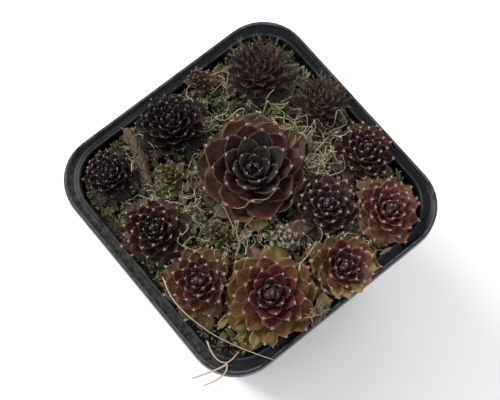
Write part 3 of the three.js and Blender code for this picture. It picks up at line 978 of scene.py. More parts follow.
oldest = Leaf(HEN, HEN["leaves"] - 1, boundaries(HEN), random.Random(0))
print("the hen's oldest full leaf reaches", round(oldest.tip.x, 1), "mm out from its axis")

# %% All leaves of a rosette
BUD_LEAVES = 6


def leaves_of(head):
    dice = random.Random(head["node"])
    limits = boundaries(head)
    orders = list(range(head["leaves"] + head["skirt"]))
    if head is not HEN:
        orders += range(-1, -1 - BUD_LEAVES, -1)
    return [Leaf(head, order, limits, dice) for order in orders]


print("the hen has", len(leaves_of(HEN)), "leaves with its skirt")

# %% [markdown]
# The crown under the leaves is a short lathed stem. It is modelled as a profile of edges that the
# spin operator turns about the axis, and it is joined to the leaves, so that each rosette is one
# piece that stands in for its solid.

# %% Model a crown
STEM_DEPTH = 9.0
SPIN_STEPS = 16


def stem_radius(head):
    return 0.13 * head["radius"] + 0.4


def crown(head):
    """A closed stem and crown, in the rosette's frame, as points and faces in millimetres."""
    radius, height = head["radius"], head["height"]
    stem = stem_radius(head)
    depth = 2 * STEM_DEPTH if head is HEN else STEM_DEPTH
    profile = [
        (0, -depth), (0.55 * stem, -depth), (stem, -0.25 * depth), (stem, -0.16 * height),
        (0.24 * radius, -0.06 * height), (0.25 * radius, 0.12 * height),
        (0.13 * radius, 0.3 * height), (0, 0.36 * height),
    ]
    deselect_all()
    bpy.ops.mesh.primitive_plane_add(size=1, location=(0, 0, 0))
    made = bpy.context.object
    bpy.ops.object.mode_set(mode="EDIT")
    bpy.ops.mesh.delete(type="VERT")
    edit = bmesh.from_edit_mesh(made.data)
    chain = [edit.verts.new((x, 0, z)) for x, z in profile]
    for a, b in zip(chain, chain[1:]):
        edit.edges.new((a, b))
    bmesh.update_edit_mesh(made.data)
    bpy.ops.mesh.select_all(action="SELECT")
    bpy.ops.mesh.spin(steps=SPIN_STEPS, angle=2 * math.pi, center=(0, 0, 0), axis=(0, 0, 1))
    bpy.ops.mesh.select_all(action="SELECT")
    bpy.ops.mesh.remove_doubles(threshold=0.001)
    bpy.ops.mesh.normals_make_consistent(inside=False)
    bpy.ops.object.mode_set(mode="OBJECT")
    return take_shape(made)


print("the hen's stem:", round(2 * stem_radius(HEN), 1), "mm thick")

# %% [markdown]
# A rosette is gathered in a pile, which is a growing list of points and faces with marks for each
# point. The marks become attributes of the mesh, and the leaf's material reads them. The same
# pile gathers hairs, crumbs and straw later.

# %% Join a rosette
MARKS = ("age", "along", "across", "tint", "dry")


class Pile:
    """A growing mesh in millimetres, with a number or more for each point."""

    def __init__(self, *labels):
        self.points = []
        self.faces = []
        self.marks = {label: [] for label in labels}

    def add(self, points, faces, **marks):
        first = len(self.points)
        self.points += points
        self.faces += [tuple(first + i for i in face) for face in faces]
        for label, value in marks.items():
            self.marks[label] += value if isinstance(value, list) else [value] * len(points)

    def object(self, name, smooth=True):
        """The pile as an object at the origin, its marks kept as attributes."""
        data = bpy.data.meshes.new(name)
        data.from_pydata([Vector(p) * MM for p in self.points], [], self.faces)
        for label, values in self.marks.items():
            layer = data.attributes.new(label, "FLOAT", "POINT")
            layer.data.foreach_set("value", values)
        if smooth:
            data.shade_smooth()
        made = bpy.data.objects.new(name, data)
        bpy.context.collection.objects.link(made)
        return made


def add_leaf(pile, leaf, matrix):
    points = [clear_of_rim(matrix @ leaf.place(*point)) for point in leaf.blank["points"]]
    pile.add(points, leaf.blank["faces"], age=leaf.age, tint=leaf.tint, dry=leaf.dry,
             **leaf.blank["marks"])


def rosette_object(head):
    matrix = head_matrix(head)
    pile = Pile(*MARKS)
    points, faces = crown(head)
    pile.add([matrix @ Vector(p) for p in points], faces,
             age=0.0, along=0.3, across=0.0, tint=0.5, dry=0.0)
    for leaf in leaves_of(head):
        add_leaf(pile, leaf, matrix)
    return pile.object(head["node"] + "_leaves")


print("marks of each point:", list(Pile(*MARKS).marks))

# %% [markdown]
# ## Leaf skin
#
# The colour runs from the bud outwards, from leaf base to tip and from the middle to the margin:
# dark in the bud, red in the ring round it, and olive on the old outer leaves, whose tips and
# margins stay red. The group leaf_skin works this out from the marks; each kind of rosette then
# has its own colours. The group is built in steps, a colour on top of the last.


# %% Leaf skin steps
def attribute(tree, label):
    settings = {"attribute_name": label, "attribute_type": "GEOMETRY"}
    return add_node(tree, "ShaderNodeAttribute", **settings), "Fac"


def scaled(tree, source, factor, offset=0.0):
    return calculate(tree, "MULTIPLY_ADD", source, factor, offset)


def add_up(tree, first, *others):
    for other in others:
        first = calculate(tree, "ADD", first, other)
    return first


def body_colour(tree, entry, ripe, along):
    """Bud to ring, then ring to outer leaf, where the base turns olive first and the tip last."""
    ring_from = scaled(tree, (entry, "Ring age"), 0.4)
    to_ring = ease(tree, ripe, ring_from, (entry, "Ring age"))
    inner = mix(tree, to_ring, (entry, "Bud"), (entry, "Ring"))
    based = add_up(tree, ripe, scaled(tree, along, -0.3))
    outer_from = scaled(tree, (entry, "Outer age"), 1.0, -0.5)
    to_outer = ease(tree, based, outer_from, scaled(tree, (entry, "Outer age"), 1.0, -0.12))
    return mix(tree, to_outer, inner, (entry, "Outer"))


def blush_mask(tree, ripe, along, tint, blotch):
    """The far half of an old leaf keeps a patchy blush of the ring's red."""
    far = ease(tree, along, 0.35, 0.95, 0.0, 0.9)
    patches = ease(tree, blotch, 0.35, 0.6, 0.2, 1.0)
    adult = ease(tree, ripe, 0.45, 0.8)
    sunny = ease(tree, tint, 0.2, 0.6, 0.3, 1.0)
    far_patches = calculate(tree, "MULTIPLY", far, patches)
    return calculate(tree, "MULTIPLY", far_patches, calculate(tree, "MULTIPLY", adult, sunny))


def streak_noise(tree, along, across, tint):
    """Streaks run along the leaf: noise squeezed across and stretched along."""
    inputs = {"X": scaled(tree, along, 1.6), "Y": scaled(tree, across, 3.2),
              "Z": scaled(tree, tint, 40.0)}
    lengthwise = add_node(tree, "ShaderNodeCombineXYZ", inputs), "Vector"
    return cloud(tree, lengthwise, 1.0, 5)


def pale_mask(tree, age, along, across, blotch):
    """The margin, in patches, and the very tip are paler, and the more so the older the leaf."""
    rim = ease(tree, calculate(tree, "ABSOLUTE", across), 0.8, 1.0, 0.0, 0.8)
    patchy = ease(tree, blotch, 0.38, 0.62, 0.25, 1.0)
    some_rim = calculate(tree, "MULTIPLY", rim, patchy)
    tip = ease(tree, along, 0.93, 1.0, 0.0, 0.8)
    either = calculate(tree, "MAXIMUM", some_rim, tip)
    return calculate(tree, "MULTIPLY", either, ease(tree, age, 0.02, 0.4, 0.12, 1.0))


print("marks that the leaf skin reads:", MARKS)

# %% Leaf skin group
FADED = (0.1, 0.062, 0.036)  # a dead leaf


def build_leaf_skin():
    colours = ("Bud", "Ring", "Outer", "Blush")
    tree, entry = new_group(
        "leaf_skin",
        [("Vector", VECTOR, (0, 0, 0)), *((label, COLOUR, (0, 0, 0, 1)) for label in colours),
         ("Margin", COLOUR, (1, 1, 1, 1)), ("Dry", COLOUR, (*FADED, 1)),
         ("Ring age", FLOAT, 0.35), ("Outer age", FLOAT, 0.75)],
        [("Colour", COLOUR), ("Roughness", FLOAT), ("Height", FLOAT)],
    )
    age, along, across, tint, dry = [attribute(tree, label) for label in MARKS]
    # A blotchy noise moves every border a little, so that no ring is a clean circle.
    blotch = cloud(tree, (entry, "Vector"), 260, 4)
    ripe = add_up(tree, scaled(tree, age, 1.0), scaled(tree, blotch, 0.3, -0.15),
                  scaled(tree, tint, 0.16, -0.08))
    body = body_colour(tree, entry, ripe, along)
    blush = blush_mask(tree, ripe, along, tint, blotch)
    blushed = mix(tree, blush, body, (entry, "Blush"))
    streaks = streak_noise(tree, along, across, tint)
    shade = ease(tree, streaks, 0.3, 0.7, 0.72, 1.25)
    inputs = {channel: shade for channel in ("Red", "Green", "Blue")}
    grey = add_node(tree, "ShaderNodeCombineColor", inputs), "Color"
    streaked = mix(tree, 1, blushed, grey, "MULTIPLY")
    pale = pale_mask(tree, age, along, across, blotch)
    edged = mix(tree, pale, streaked, (entry, "Margin"))
    # Dead leaves lose it all but keep their streaks.
    straw = mix(tree, 1, (entry, "Dry"), grey, "MULTIPLY")
    withered = mix(tree, dry, edged, straw)
    rough = ease(tree, blotch, 0.3, 0.7, 0.45, 0.66)
    down = cloud(tree, (entry, "Vector"), 2600, 2)
    height = add_up(tree, scaled(tree, down, 1.0), scaled(tree, streaks, 1.0))
    add_node(tree, "NodeGroupOutput", {"Colour": withered, "Roughness": rough, "Height": height})
    return tree


leaf_skin_group = build_leaf_skin()
print(leaf_skin_group.name, "has", len(leaf_skin_group.nodes), "nodes")

# %% Leaf materials
# For each kind: bud, ring, outer leaf, blush on its tip, margin, and the ages of ring and outer.
LEAF_COLOURS = {
    "hen": ((0.0265, 0.021, 0.022), (0.038, 0.0155, 0.0145), (0.057, 0.046, 0.0205),
            (0.062, 0.0225, 0.0165), (0.14, 0.08, 0.056), 0.58, 0.9),
    "purple": ((0.037, 0.0255, 0.0275), (0.033, 0.0168, 0.0172), (0.05, 0.028, 0.021),
               (0.045, 0.019, 0.017), (0.12, 0.075, 0.062), 0.42, 1.1),
    "crimson": ((0.047, 0.022, 0.023), (0.085, 0.0195, 0.0225), (0.118, 0.097, 0.027),
                (0.115, 0.037, 0.021), (0.26, 0.105, 0.065), 0.4, 0.74),
    "wine": ((0.047, 0.0225, 0.024), (0.059, 0.0132, 0.0162), (0.076, 0.06, 0.021),
             (0.075, 0.026, 0.018), (0.19, 0.085, 0.055), 0.42, 0.8),
    "rose": ((0.074, 0.031, 0.031), (0.098, 0.03, 0.027), (0.115, 0.075, 0.032),
             (0.12, 0.045, 0.031), (0.24, 0.12, 0.08), 0.36, 0.92),
    "garnet": ((0.04, 0.02, 0.018), (0.05, 0.021, 0.018), (0.05, 0.034, 0.017),
               (0.056, 0.023, 0.016), (0.12, 0.066, 0.046), 0.36, 0.92),
    "maroon": ((0.024, 0.0136, 0.014), (0.035, 0.0118, 0.0115), (0.026, 0.0215, 0.0105),
               (0.03, 0.0125, 0.01), (0.085, 0.045, 0.033), 0.42, 0.95),
    # chick_07: the maroon colours darkened by a fifth, painted shade
    "plum": ((0.0185, 0.0115, 0.0118), (0.0275, 0.0092, 0.0093), (0.0255, 0.0172, 0.0088),
             (0.026, 0.0102, 0.0082), (0.068, 0.037, 0.028), 0.42, 0.95),
    # The dark kind, for chick_08 and chick_09: partly their own dark colour and partly painted
    # shade
    "dark": ((0.0115, 0.0086, 0.0095), (0.0105, 0.0062, 0.0068), (0.009, 0.0072, 0.0058),
             (0.0085, 0.0055, 0.0055), (0.024, 0.018, 0.016), 0.5, 1.05),
    "spiky": ((0.02, 0.0108, 0.0108), (0.027, 0.0118, 0.012), (0.017, 0.0138, 0.0095),
              (0.019, 0.0105, 0.0098), (0.038, 0.024, 0.019), 0.4, 1.0),
    "ruddy": ((0.032, 0.017, 0.017), (0.034, 0.0145, 0.0145), (0.02, 0.0145, 0.01),
              (0.024, 0.012, 0.011), (0.05, 0.031, 0.026), 0.4, 1.0),
    "green": ((0.06, 0.042, 0.025), (0.07, 0.062, 0.027), (0.075, 0.073, 0.03),
              (0.085, 0.052, 0.028), (0.18, 0.15, 0.09), 0.2, 0.6),
    "woolly": ((0.16, 0.14, 0.095), (0.09, 0.082, 0.045), (0.08, 0.07, 0.038),
               (0.09, 0.065, 0.04), (0.2, 0.17, 0.12), 0.3, 0.6),
    "mint": ((0.15, 0.14, 0.09), (0.15, 0.155, 0.085), (0.13, 0.14, 0.075),
             (0.15, 0.13, 0.08), (0.3, 0.29, 0.21), 0.2, 0.6),
    "teal": ((0.026, 0.028, 0.017), (0.028, 0.034, 0.018), (0.032, 0.041, 0.021),
             (0.034, 0.032, 0.019), (0.075, 0.075, 0.05), 0.2, 0.6),
    "lime": ((0.08, 0.075, 0.025), (0.095, 0.09, 0.028), (0.11, 0.1, 0.031),
             (0.13, 0.092, 0.034), (0.25, 0.21, 0.1), 0.2, 0.6),
    "yellow": ((0.12, 0.09, 0.036), (0.145, 0.11, 0.042), (0.18, 0.138, 0.053),
               (0.175, 0.09, 0.042), (0.38, 0.27, 0.16), 0.2, 0.6),
    "golden": ((0.06, 0.038, 0.019), (0.07, 0.049, 0.021), (0.084, 0.065, 0.026),
               (0.1, 0.042, 0.027), (0.26, 0.16, 0.1), 0.2, 0.7),
    "russet": ((0.042, 0.019, 0.016), (0.042, 0.018, 0.015), (0.04, 0.02, 0.015),
               (0.052, 0.021, 0.017), (0.28, 0.19, 0.16), 0.2, 1.1),
    "offset": ((0.03, 0.03, 0.014), (0.032, 0.042, 0.019), (0.036, 0.05, 0.023),
               (0.045, 0.042, 0.022), (0.1, 0.1, 0.06), 0.2, 0.6),
    "dry": ((0.1, 0.05, 0.03), (0.12, 0.06, 0.035), (0.14, 0.08, 0.05),
            (0.14, 0.08, 0.05), (0.2, 0.13, 0.08), 0.4, 0.8),
    "husk": ((0.1, 0.05, 0.03), (0.12, 0.06, 0.035), (0.14, 0.08, 0.05),
             (0.14, 0.08, 0.05), (0.2, 0.13, 0.08), 0.4, 0.8),
}
DRY_COLOURS = {"dry": (0.118, 0.083, 0.059), "husk": (0.135, 0.101, 0.08)}


def leaf_material(name, bud, ring, outer, blush, margin, ring_age, outer_age):
    made, tree, shader, spot = new_material(
        name + " leaf", 0.55, Specular_IOR_Level=0.15, Subsurface_Weight=0.05,
        Subsurface_Scale=0.001)
    skin = place_group(
        tree, leaf_skin_group, spot, Bud=(*bud, 1), Ring=(*ring, 1), Outer=(*outer, 1),
        Blush=(*blush, 1), Margin=(*margin, 1), Dry=(*DRY_COLOURS.get(name, FADED), 1),
        Ring_age=ring_age, Outer_age=outer_age)
    give(tree, shader, "Base Color", (skin, "Colour"))
    give(tree, shader, "Roughness", (skin, "Roughness"))
    add_bump(tree, shader, (skin, "Height"), 0.35, 0.12)
    return made


LEAF_MATERIALS = {name: leaf_material(name, *row) for name, row in LEAF_COLOURS.items()}
print("leaf materials:", len(LEAF_MATERIALS))


for head in HEADS:
    finish_piece(rosette_object(head), LEAF_MATERIALS[head["style"]],
                 head["node"])

# %% [markdown]
# ## Hairs
#
# The leaves' margins carry fine white hairs and each tip ends in a tuft. At this size a hair is a
# three-sided needle, a few faces each, so that thousands of them stay light. Each rosette's hairs
# are one piece. The tufts are the brightest thing on the plant: they dot the spiral's tips.


# %% Hairs of each kind
TUFT_RADIUS = 0.055
FRINGE_RADIUS = 0.022
# For each kind of rosette: hairs in a tuft, their spread, radius and longest length in
# millimetres, and hairs along a margin.
HAIRS = {
    "hen": (30, 0.6, 0.055, 1.05, 24),
    "chick": (26, 0.6, TUFT_RADIUS, 1.1, 9),
    "spiky": (7, 0.3, 0.036, 3.4, 6),
    "ruddy": (7, 0.3, 0.036, 3.0, 6),
    "plum": (22, 0.6, 0.05, 1.0, 9),
    "maroon": (24, 0.6, 0.052, 1.0, 9),
    "dark": (10, 0.5, 0.036, 0.9, 8),
    "green": (12, 0.6, 0.05, 0.7, 7),
    "garnet": (10, 0.6, 0.045, 0.6, 6),
    "woolly": (34, 1.2, 0.05, 1.5, 16),
}
print("hairs in the hen's tufts:", HAIRS["hen"][0])

# %% Grow the hairs
THIRD = 2.0944  # a third of a turn, in radians
FULL_HAIR_AGE = 0.38  # of a leaf whose hairs are as many and as long as they get
LEAST_HAIR = 0.38  # the share of that on the youngest leaf
HAIR_ROOT = 0.985  # hairs stand just inside the tip and the margin
FRINGE_FROM, FRINGE_RUN = 0.3, 0.68  # where along the leaf the fringe starts, and its length


def add_needle(pile, root, way, length, radius):
    """A closed three-sided needle."""
    way = way.normalized()
    side = way.orthogonal().normalized()
    third = way.cross(side)
    corners = [side * math.cos(k * THIRD) + third * math.sin(k * THIRD) for k in range(3)]
    points = [root + corner * radius for corner in corners] + [root + way * length]
    pile.add(points, [(2, 1, 0), (0, 1, 3), (1, 2, 3), (2, 0, 3)])


def spread_of(dice, width):
    """A random way, as far off as the width says."""
    return Vector([dice.gauss(0, width) for _ in range(3)])


def hairs_of(head):
    """Tufts at the tips and a fringe along the margins."""
    dice = random.Random("hairs of " + head["node"])
    matrix = head_matrix(head)
    turn = matrix.to_3x3()
    tuft, spread, thick, length, fringe = HAIRS.get(head["style"], HAIRS["chick"])
    pile = Pile()
    for leaf in leaves_of(head):
        if leaf.dry:
            continue
        young = LEAST_HAIR + (1 - LEAST_HAIR) * min(1, leaf.age / FULL_HAIR_AGE)
        point, along, normal = leaf.frame_at(1.0)
        for _ in range(round(tuft * young)):
            off = spread_of(dice, spread)
            root = clear_of_rim(matrix @ leaf.place(HAIR_ROOT, dice.uniform(-0.05, 0.05), 0))
            way = turn @ (along + off + normal * 0.3)
            add_needle(pile, root, way, length * young * dice.uniform(0.45, 1.1), thick)
        for k in range(fringe):
            for side in (-1, 1):
                u = FRINGE_FROM + FRINGE_RUN * (k + dice.random()) / fringe
                width = read_curve(leaf.blank["outline"], u)
                root = clear_of_rim(matrix @ leaf.place(u, side * width * HAIR_ROOT, -0.02))
                _, along, normal = leaf.frame_at(u)
                way = leaf.across * side + along * dice.uniform(0.2, 0.9)
                way = turn @ (way + normal * dice.uniform(-0.1, 0.5))
                reach = length * young * dice.uniform(0.3, 0.7)
                add_needle(pile, root, way, reach, FRINGE_RADIUS)
    return pile


hairs = [hairs_of(head) for head in HEADS]
print("hairs:", sum(len(pile.faces) for pile in hairs) // 4)


# %% Hair materials
def pale_material(name, base, speck, roughness=0.6, scale=700.0):
    made, tree, shader, spot = new_material(name, roughness)
    shade = place_group(tree, speckle_group, spot, Base=(*base, 1), Speck=(*speck, 1),
                        Scale=scale, Cover=0.5, Softness=0.3)
    give(tree, shader, "Base Color", (shade, "Colour"))
    return made


white_hair = pale_material("white leaf hair", (0.5, 0.43, 0.35), (0.8, 0.72, 0.6))
buff_hair = pale_material("buff leaf hair", (0.24, 0.21, 0.15), (0.45, 0.41, 0.31))
for head, pile in zip(HEADS, hairs):
    hair = buff_hair if head["style"] in ("spiky", "ruddy") else white_hair
    finish_piece(pile.object(head["node"] + "_hairs"), hair)

# %% [markdown]
# ## What fills the gaps
#
# Between the rosettes the mix hardly shows. There are bark chips, pale grit, moss, small stray
# leaves of offsets to come, dead leaves and straw. Each kind is modelled once as a small blank of
# a few dozen faces; the copies are scattered where no rosette stands, turned, sized and dented
# one by one, and joined into one piece a kind.


# %% Model the small blanks
def small_blank(name, add, shape):
    """Add a primitive, shape it in edit mode and keep it as a blank."""
    deselect_all()
    add()
    made = bpy.context.object
    bpy.ops.object.mode_set(mode="EDIT")
    bpy.ops.mesh.select_all(action="SELECT")
    shape()
    bpy.ops.mesh.select_all(action="SELECT")
    bpy.ops.mesh.normals_make_consistent(inside=False)
    bpy.ops.object.mode_set(mode="OBJECT")
    bpy.ops.object.transform_apply(location=True, rotation=True, scale=True)
    print(name, len(made.data.polygons), "faces")
    return take_shape(made)


def shape_chip():
    bpy.ops.transform.resize(value=(1.6, 1, 0.45))
    bpy.ops.mesh.bevel(offset=0.12, segments=1)


def shape_grit():
    bpy.ops.transform.resize(value=(1, 0.85, 0.75))


def shape_moss_leaf():
    bpy.ops.transform.rotate(value=math.pi / 2, orient_axis="Y", center_override=(0, 0, 0))
    bpy.ops.transform.resize(value=(0.5, 0.16, 0.07))
    bpy.ops.transform.translate(value=(0.5, 0, 0))


primitives = bpy.ops.mesh
chip_blank = small_blank(
    "bark chip", lambda: primitives.primitive_cube_add(size=1), shape_chip)
grit_blank = small_blank(
    "grit", lambda: primitives.primitive_ico_sphere_add(subdivisions=1, radius=0.5), shape_grit)
moss_blank = small_blank(
    "moss leaf",
    lambda: primitives.primitive_uv_sphere_add(segments=5, ring_count=4, radius=1),
    shape_moss_leaf)

# %% [markdown]
# Small things lie at random where no rosette stands. The places come from a seeded generator, so
# that each run gives the same plant. One generator serves all that follows, in one order.

# %% Find the gaps
COVER_SHARE = 0.78  # of its radius is what a rosette hides of the mix


def gap_at(x, y):
    """How far a place is from what the nearest rosette hides, in millimetres."""
    gaps = []
    for head in HEADS:
        away = math.hypot(x - head["at"][0], y - head["at"][1])
        gaps.append(away - COVER_SHARE * head["radius"])
    return min(gaps)


def any_place(dice):
    return dice.uniform(-RIM_HALF, RIM_HALF), dice.uniform(-RIM_HALF, RIM_HALF)


def scatter(count, dice, least=0.0, clear=1.3):
    """Random places in the gaps, clear of the wall."""
    found = []
    while len(found) < count:
        x, y = any_place(dice)
        if gap_at(x, y) > least and inside_wall(x, y, SOIL_LEVEL) > clear:
            found.append((x, y))
    return found


print("free room at the front corner:", round(gap_at(-35, -35), 1), "mm")

# %% Copy a small blank
DENT_SCALE = 2.3
DENT_STRIDE = 97  # sets the dents of two copies apart


def random_turn(dice, tilt=math.pi):
    spin = Matrix.Rotation(dice.uniform(0, 2 * math.pi), 4, "Z")
    axis = Vector((dice.gauss(0, 1), dice.gauss(0, 1), 0.01)).normalized()
    return Matrix.Rotation(dice.uniform(-tilt, tilt), 4, axis) @ spin


def add_copy(pile, blank, matrix, tint, dent=0.0):
    """A copy of a blank, dented by noise that differs from copy to copy."""
    points = []
    for p in blank[0]:
        p = Vector(p)
        if dent:
            p *= 1 + dent * noise.noise(p * DENT_SCALE + Vector((tint * DENT_STRIDE, 0, 0)))
        points.append(matrix @ p)
    pile.add(points, blank[1], tint=tint)


def tinted_material(name, colours, roughness=0.85, grain_depth=0.3, scale=900.0):
    """Each copy takes a colour by its tint, from a few stops, and is grained."""
    made, tree, shader, spot = new_material(name, roughness, Specular_IOR_Level=0.25)
    ramp = add_node(tree, "ShaderNodeValToRGB", {"Fac": attribute(tree, "tint")})
    stops = ramp.color_ramp.elements
    while len(stops) < len(colours):
        stops.new(0.5)
    for k, colour in enumerate(colours):
        stops[k].position = k / max(1, len(colours) - 1)
        stops[k].color = (*colour, 1)
    darker = mix(tree, 1, (ramp, "Color"), (0.55, 0.52, 0.5, 1), "MULTIPLY")
    mottle = place_group(tree, speckle_group, spot, Base=(ramp, "Color"), Speck=darker,
                         Scale=scale, Cover=0.4, Softness=0.15)
    grain = place_group(tree, grain_group, spot, Scale=scale, Coarse_share=0.5)
    give(tree, shader, "Base Color", (mottle, "Colour"))
    add_bump(tree, shader, (grain, "Height"), 0.6, grain_depth)
    return made


def scatter_crumbs(pile, blank, count, room, sizes, larger, lifts, dice):
    """Copies of a blank on the mix. The room is (least gap, clear of the wall)."""
    for x, y in scatter(count, dice, *room):
        size = dice.uniform(*sizes) * dice.choice((1, 1, larger))
        place = Matrix.Translation((x, y, soil_height(x, y) + dice.uniform(*lifts)))
        turned = place @ random_turn(dice) @ Matrix.Scale(size, 4)
        add_copy(pile, blank, turned, dice.random(), 0.5)


print("faces of a chip, a bit of grit and a moss leaf:",
      [len(blank[1]) for blank in (chip_blank, grit_blank, moss_blank)])

# %% Bark chips and grit
BARK_COLOURS = [(0.008, 0.006, 0.004), (0.025, 0.016, 0.01), (0.06, 0.038, 0.022),
                (0.1, 0.08, 0.055)]
GRIT_COLOURS = [(0.2, 0.18, 0.14), (0.32, 0.3, 0.25), (0.5, 0.47, 0.42)]
dice = random.Random("crumbs")
chips = Pile("tint")
scatter_crumbs(chips, chip_blank, 430, (-1.5, 1.6), (0.5, 1.0), 1.7, (0, 0.9), dice)
bark = tinted_material("bark crumb", BARK_COLOURS)
finish_piece(chips.object("bark_chips", smooth=False), bark)
grit = Pile("tint")
scatter_crumbs(grit, grit_blank, 420, (-1.0,), (0.35, 0.8), 1.4, (0.3, 3.2), dice)
pale_grit = tinted_material("pale grit", GRIT_COLOURS, 0.8, 0.1)
finish_piece(grit.object("pale_grit", smooth=False), pale_grit)

# %% [markdown]
# Moss grows up between the rosettes. A sprig is a spiral of tiny leaves on the golden angle, like
# a rosette of its own. It is pale green in the light and dark where the rosettes and the rim shade
# it. Extra sprigs fill a few hollows that would look empty, and more line the groove at the wall.

# %% Moss
BARE_CORNER = -60  # x + y, in millimetres; past it the front corner is nearly bare
HOLLOWS = [(17, -28), (18, -8), (-13.8, -9.7), (26.4, -5.9), (19.5, -24.5), (-6, -41), (-23, -22)]
MOSS_COLOURS = [(0.042, 0.043, 0.02), (0.085, 0.085, 0.038), (0.145, 0.14, 0.07),
                (0.24, 0.225, 0.155)]


def sheltered(x, y):
    """Where little light comes, at the back, at the left and in the front corner."""
    return (y > 20 and x < 15) or y > 25 or x + y < BARE_CORNER or (x < -33 and y > -8)


def add_sprig(pile, x, y, above, sizes, dice):
    """A sprig of moss: a spiral of small leaves round one place."""
    tint = dice.random() * (0.4 if sheltered(x, y) else 1)
    base = Matrix.Translation((x, y, soil_height(x, y) + dice.uniform(*above)))
    size = dice.uniform(*sizes)
    for k in range(dice.randint(6, 9)):
        way = k * GOLDEN_ANGLE + dice.uniform(-0.3, 0.3)
        leaf = tilted(base, way, math.radians(dice.uniform(15, 75)))
        leaf = leaf @ Matrix.Scale(size * dice.uniform(0.7, 1.1), 4)
        leaf_tint = min(1, max(0, tint + dice.uniform(-0.1, 0.1)))
        add_copy(pile, moss_blank, leaf, leaf_tint, 0.1)


def along_wall(count, dice):
    """Random places in the groove between the mix and the wall, except at the bare corner."""
    found = []
    while len(found) < count:
        x, y = any_place(dice)
        groove = 0.9 < inside_wall(x, y, SOIL_LEVEL) < 3.0
        if gap_at(x, y) > -2.5 and groove and x + y > BARE_CORNER:
            found.append((x, y))
    return found


moss = Pile("tint")
for x, y in scatter(600, dice, -0.8):
    if x + y > BARE_CORNER or dice.random() < 0.2:
        add_sprig(moss, x, y, (0.4, 4.2), (1.2, 2.4), dice)
for x, y in HOLLOWS:
    for _ in range(9):
        near_x, near_y = x + dice.gauss(0, 1.5), y + dice.gauss(0, 1.5)
        add_sprig(moss, near_x, near_y, (2.0, 5.0), (1.4, 2.4), dice)
moss_green = tinted_material("moss", MOSS_COLOURS, 0.8, 0.05)
finish_piece(moss.object("moss_sprigs"), moss_green)
wall_moss = Pile("tint")
for x, y in along_wall(170, dice):
    add_sprig(wall_moss, x, y, (0.5, 4.8), (1.2, 2.0), dice)
finish_piece(wall_moss.object("wall_moss"), moss_green)

# %% [markdown]
# Loose leaves use the chicks' blank again. Most are the first leaves of offsets and rise from the
# mix at random places, in several greens. Others are laid one by one, each by its root, way and
# rise.
# A fresh leaf gets a small tuft at its tip later, so each helper gives back where the tip is.
# A dry leaf is thin, and noise makes its margin ragged and its blade crumpled.


# %% Bend a loose leaf
def leaf_tip(place, size, bend):
    """Where a loose leaf's tip is, and its way."""
    return place @ Vector((size * 0.98, 0, bend * size)), place.to_3x3() @ Vector((1, 0, 2 * bend))


def bent_leaf(pile, place, shape, dry, dice, age=None):
    """One loose leaf: its length, half width, bend and hollow; a dry one is ragged."""
    size, half, bend, cup = shape
    seed = dice.uniform(0, 99)
    points = []
    for u, v, w in CHICK_BLANK["points"]:
        ragged = dry * noise.noise(Vector((4 * u, seed, 2 * v)))
        s = v * half * (1 + 0.8 * ragged)
        z = bend * size * u * u + cup * half * v * v + w * (0.09 - 0.06 * dry) * size
        z += 1.2 * half * dry * noise.noise(Vector((2.5 * u, 1.5 * v, seed)))
        points.append(clear_of_rim(place @ Vector((size * u, s, z))))
    pile.add(points, CHICK_BLANK["faces"], age=age or dice.uniform(0.5, 1.1), tint=dice.random(),
             dry=float(dry), **CHICK_BLANK["marks"])
    return leaf_tip(place, size, bend)


def stray_leaves(pile, places, dice, length, curl, dry, ground=None, slim=1.0):
    """Leaves that rise from the mix, or lie on a ground, bent by their curl."""
    tips = []
    least = 1.2 if ground is None else -2.5  # how far inside the wall a tip may end
    for x, y in places:
        size = dice.uniform(*length)
        half = slim * size * dice.uniform(0.24, 0.34)
        bend = dice.uniform(*curl)
        cup = dice.uniform(0.15, 0.5) / slim ** 1.5
        way, rise = dice.uniform(0, 2 * math.pi), dice.uniform(-5, 45)
        z = soil_height(x, y) + dice.uniform(0.8, 3.6)
        while inside_wall(x + size * math.cos(way), y + size * math.sin(way)) < least:
            way += 0.7
        if ground is not None:
            z, rise = ground(x, y), 0.3 * rise
        place = tilted(Matrix.Translation((x, y, z)), way, math.radians(rise))
        tips.append(bent_leaf(pile, place, (size, half, bend, cup), dry, dice))
    return tips


def laid_leaf(pile, spot, shape, dice, age=None):
    """A leaf laid at a given spot. The spot is its root's x, y and z, its way and its rise in
    degrees.
    """
    x, y, z, way, rise = spot
    place = tilted(Matrix.Translation((x, y, z)), math.radians(way), math.radians(rise))
    return bent_leaf(pile, place, shape, 0, dice, age)


print("faces of a loose leaf:", len(CHICK_BLANK["faces"]))

# %% Stray leaves and offsets
BETWEEN_CHICKS = [(-3.5, 22.5), (-1, 24.5), (1.5, 27), (3.5, 30), (5, 33), (4, 36), (7, 27),
                  (8.5, 31), (2, 33), (-8, 19)]
MINT_PLACES = [(-12, 12), (-13.5, 9.5), (-19, 13), (-9.4, 16.6)]
TEAL_PLACES = [(-37.6, 12), (-37, 16), (-37.6, 5), (-35, 20), (-37.5, -2), (-36, 22), (-28, 20)]
LIME_PLACES = [(15.5, 36.5), (17.5, 37.6), (16.5, 34.5), (19, 36.5), (15, 38), (18.5, 34.5)]
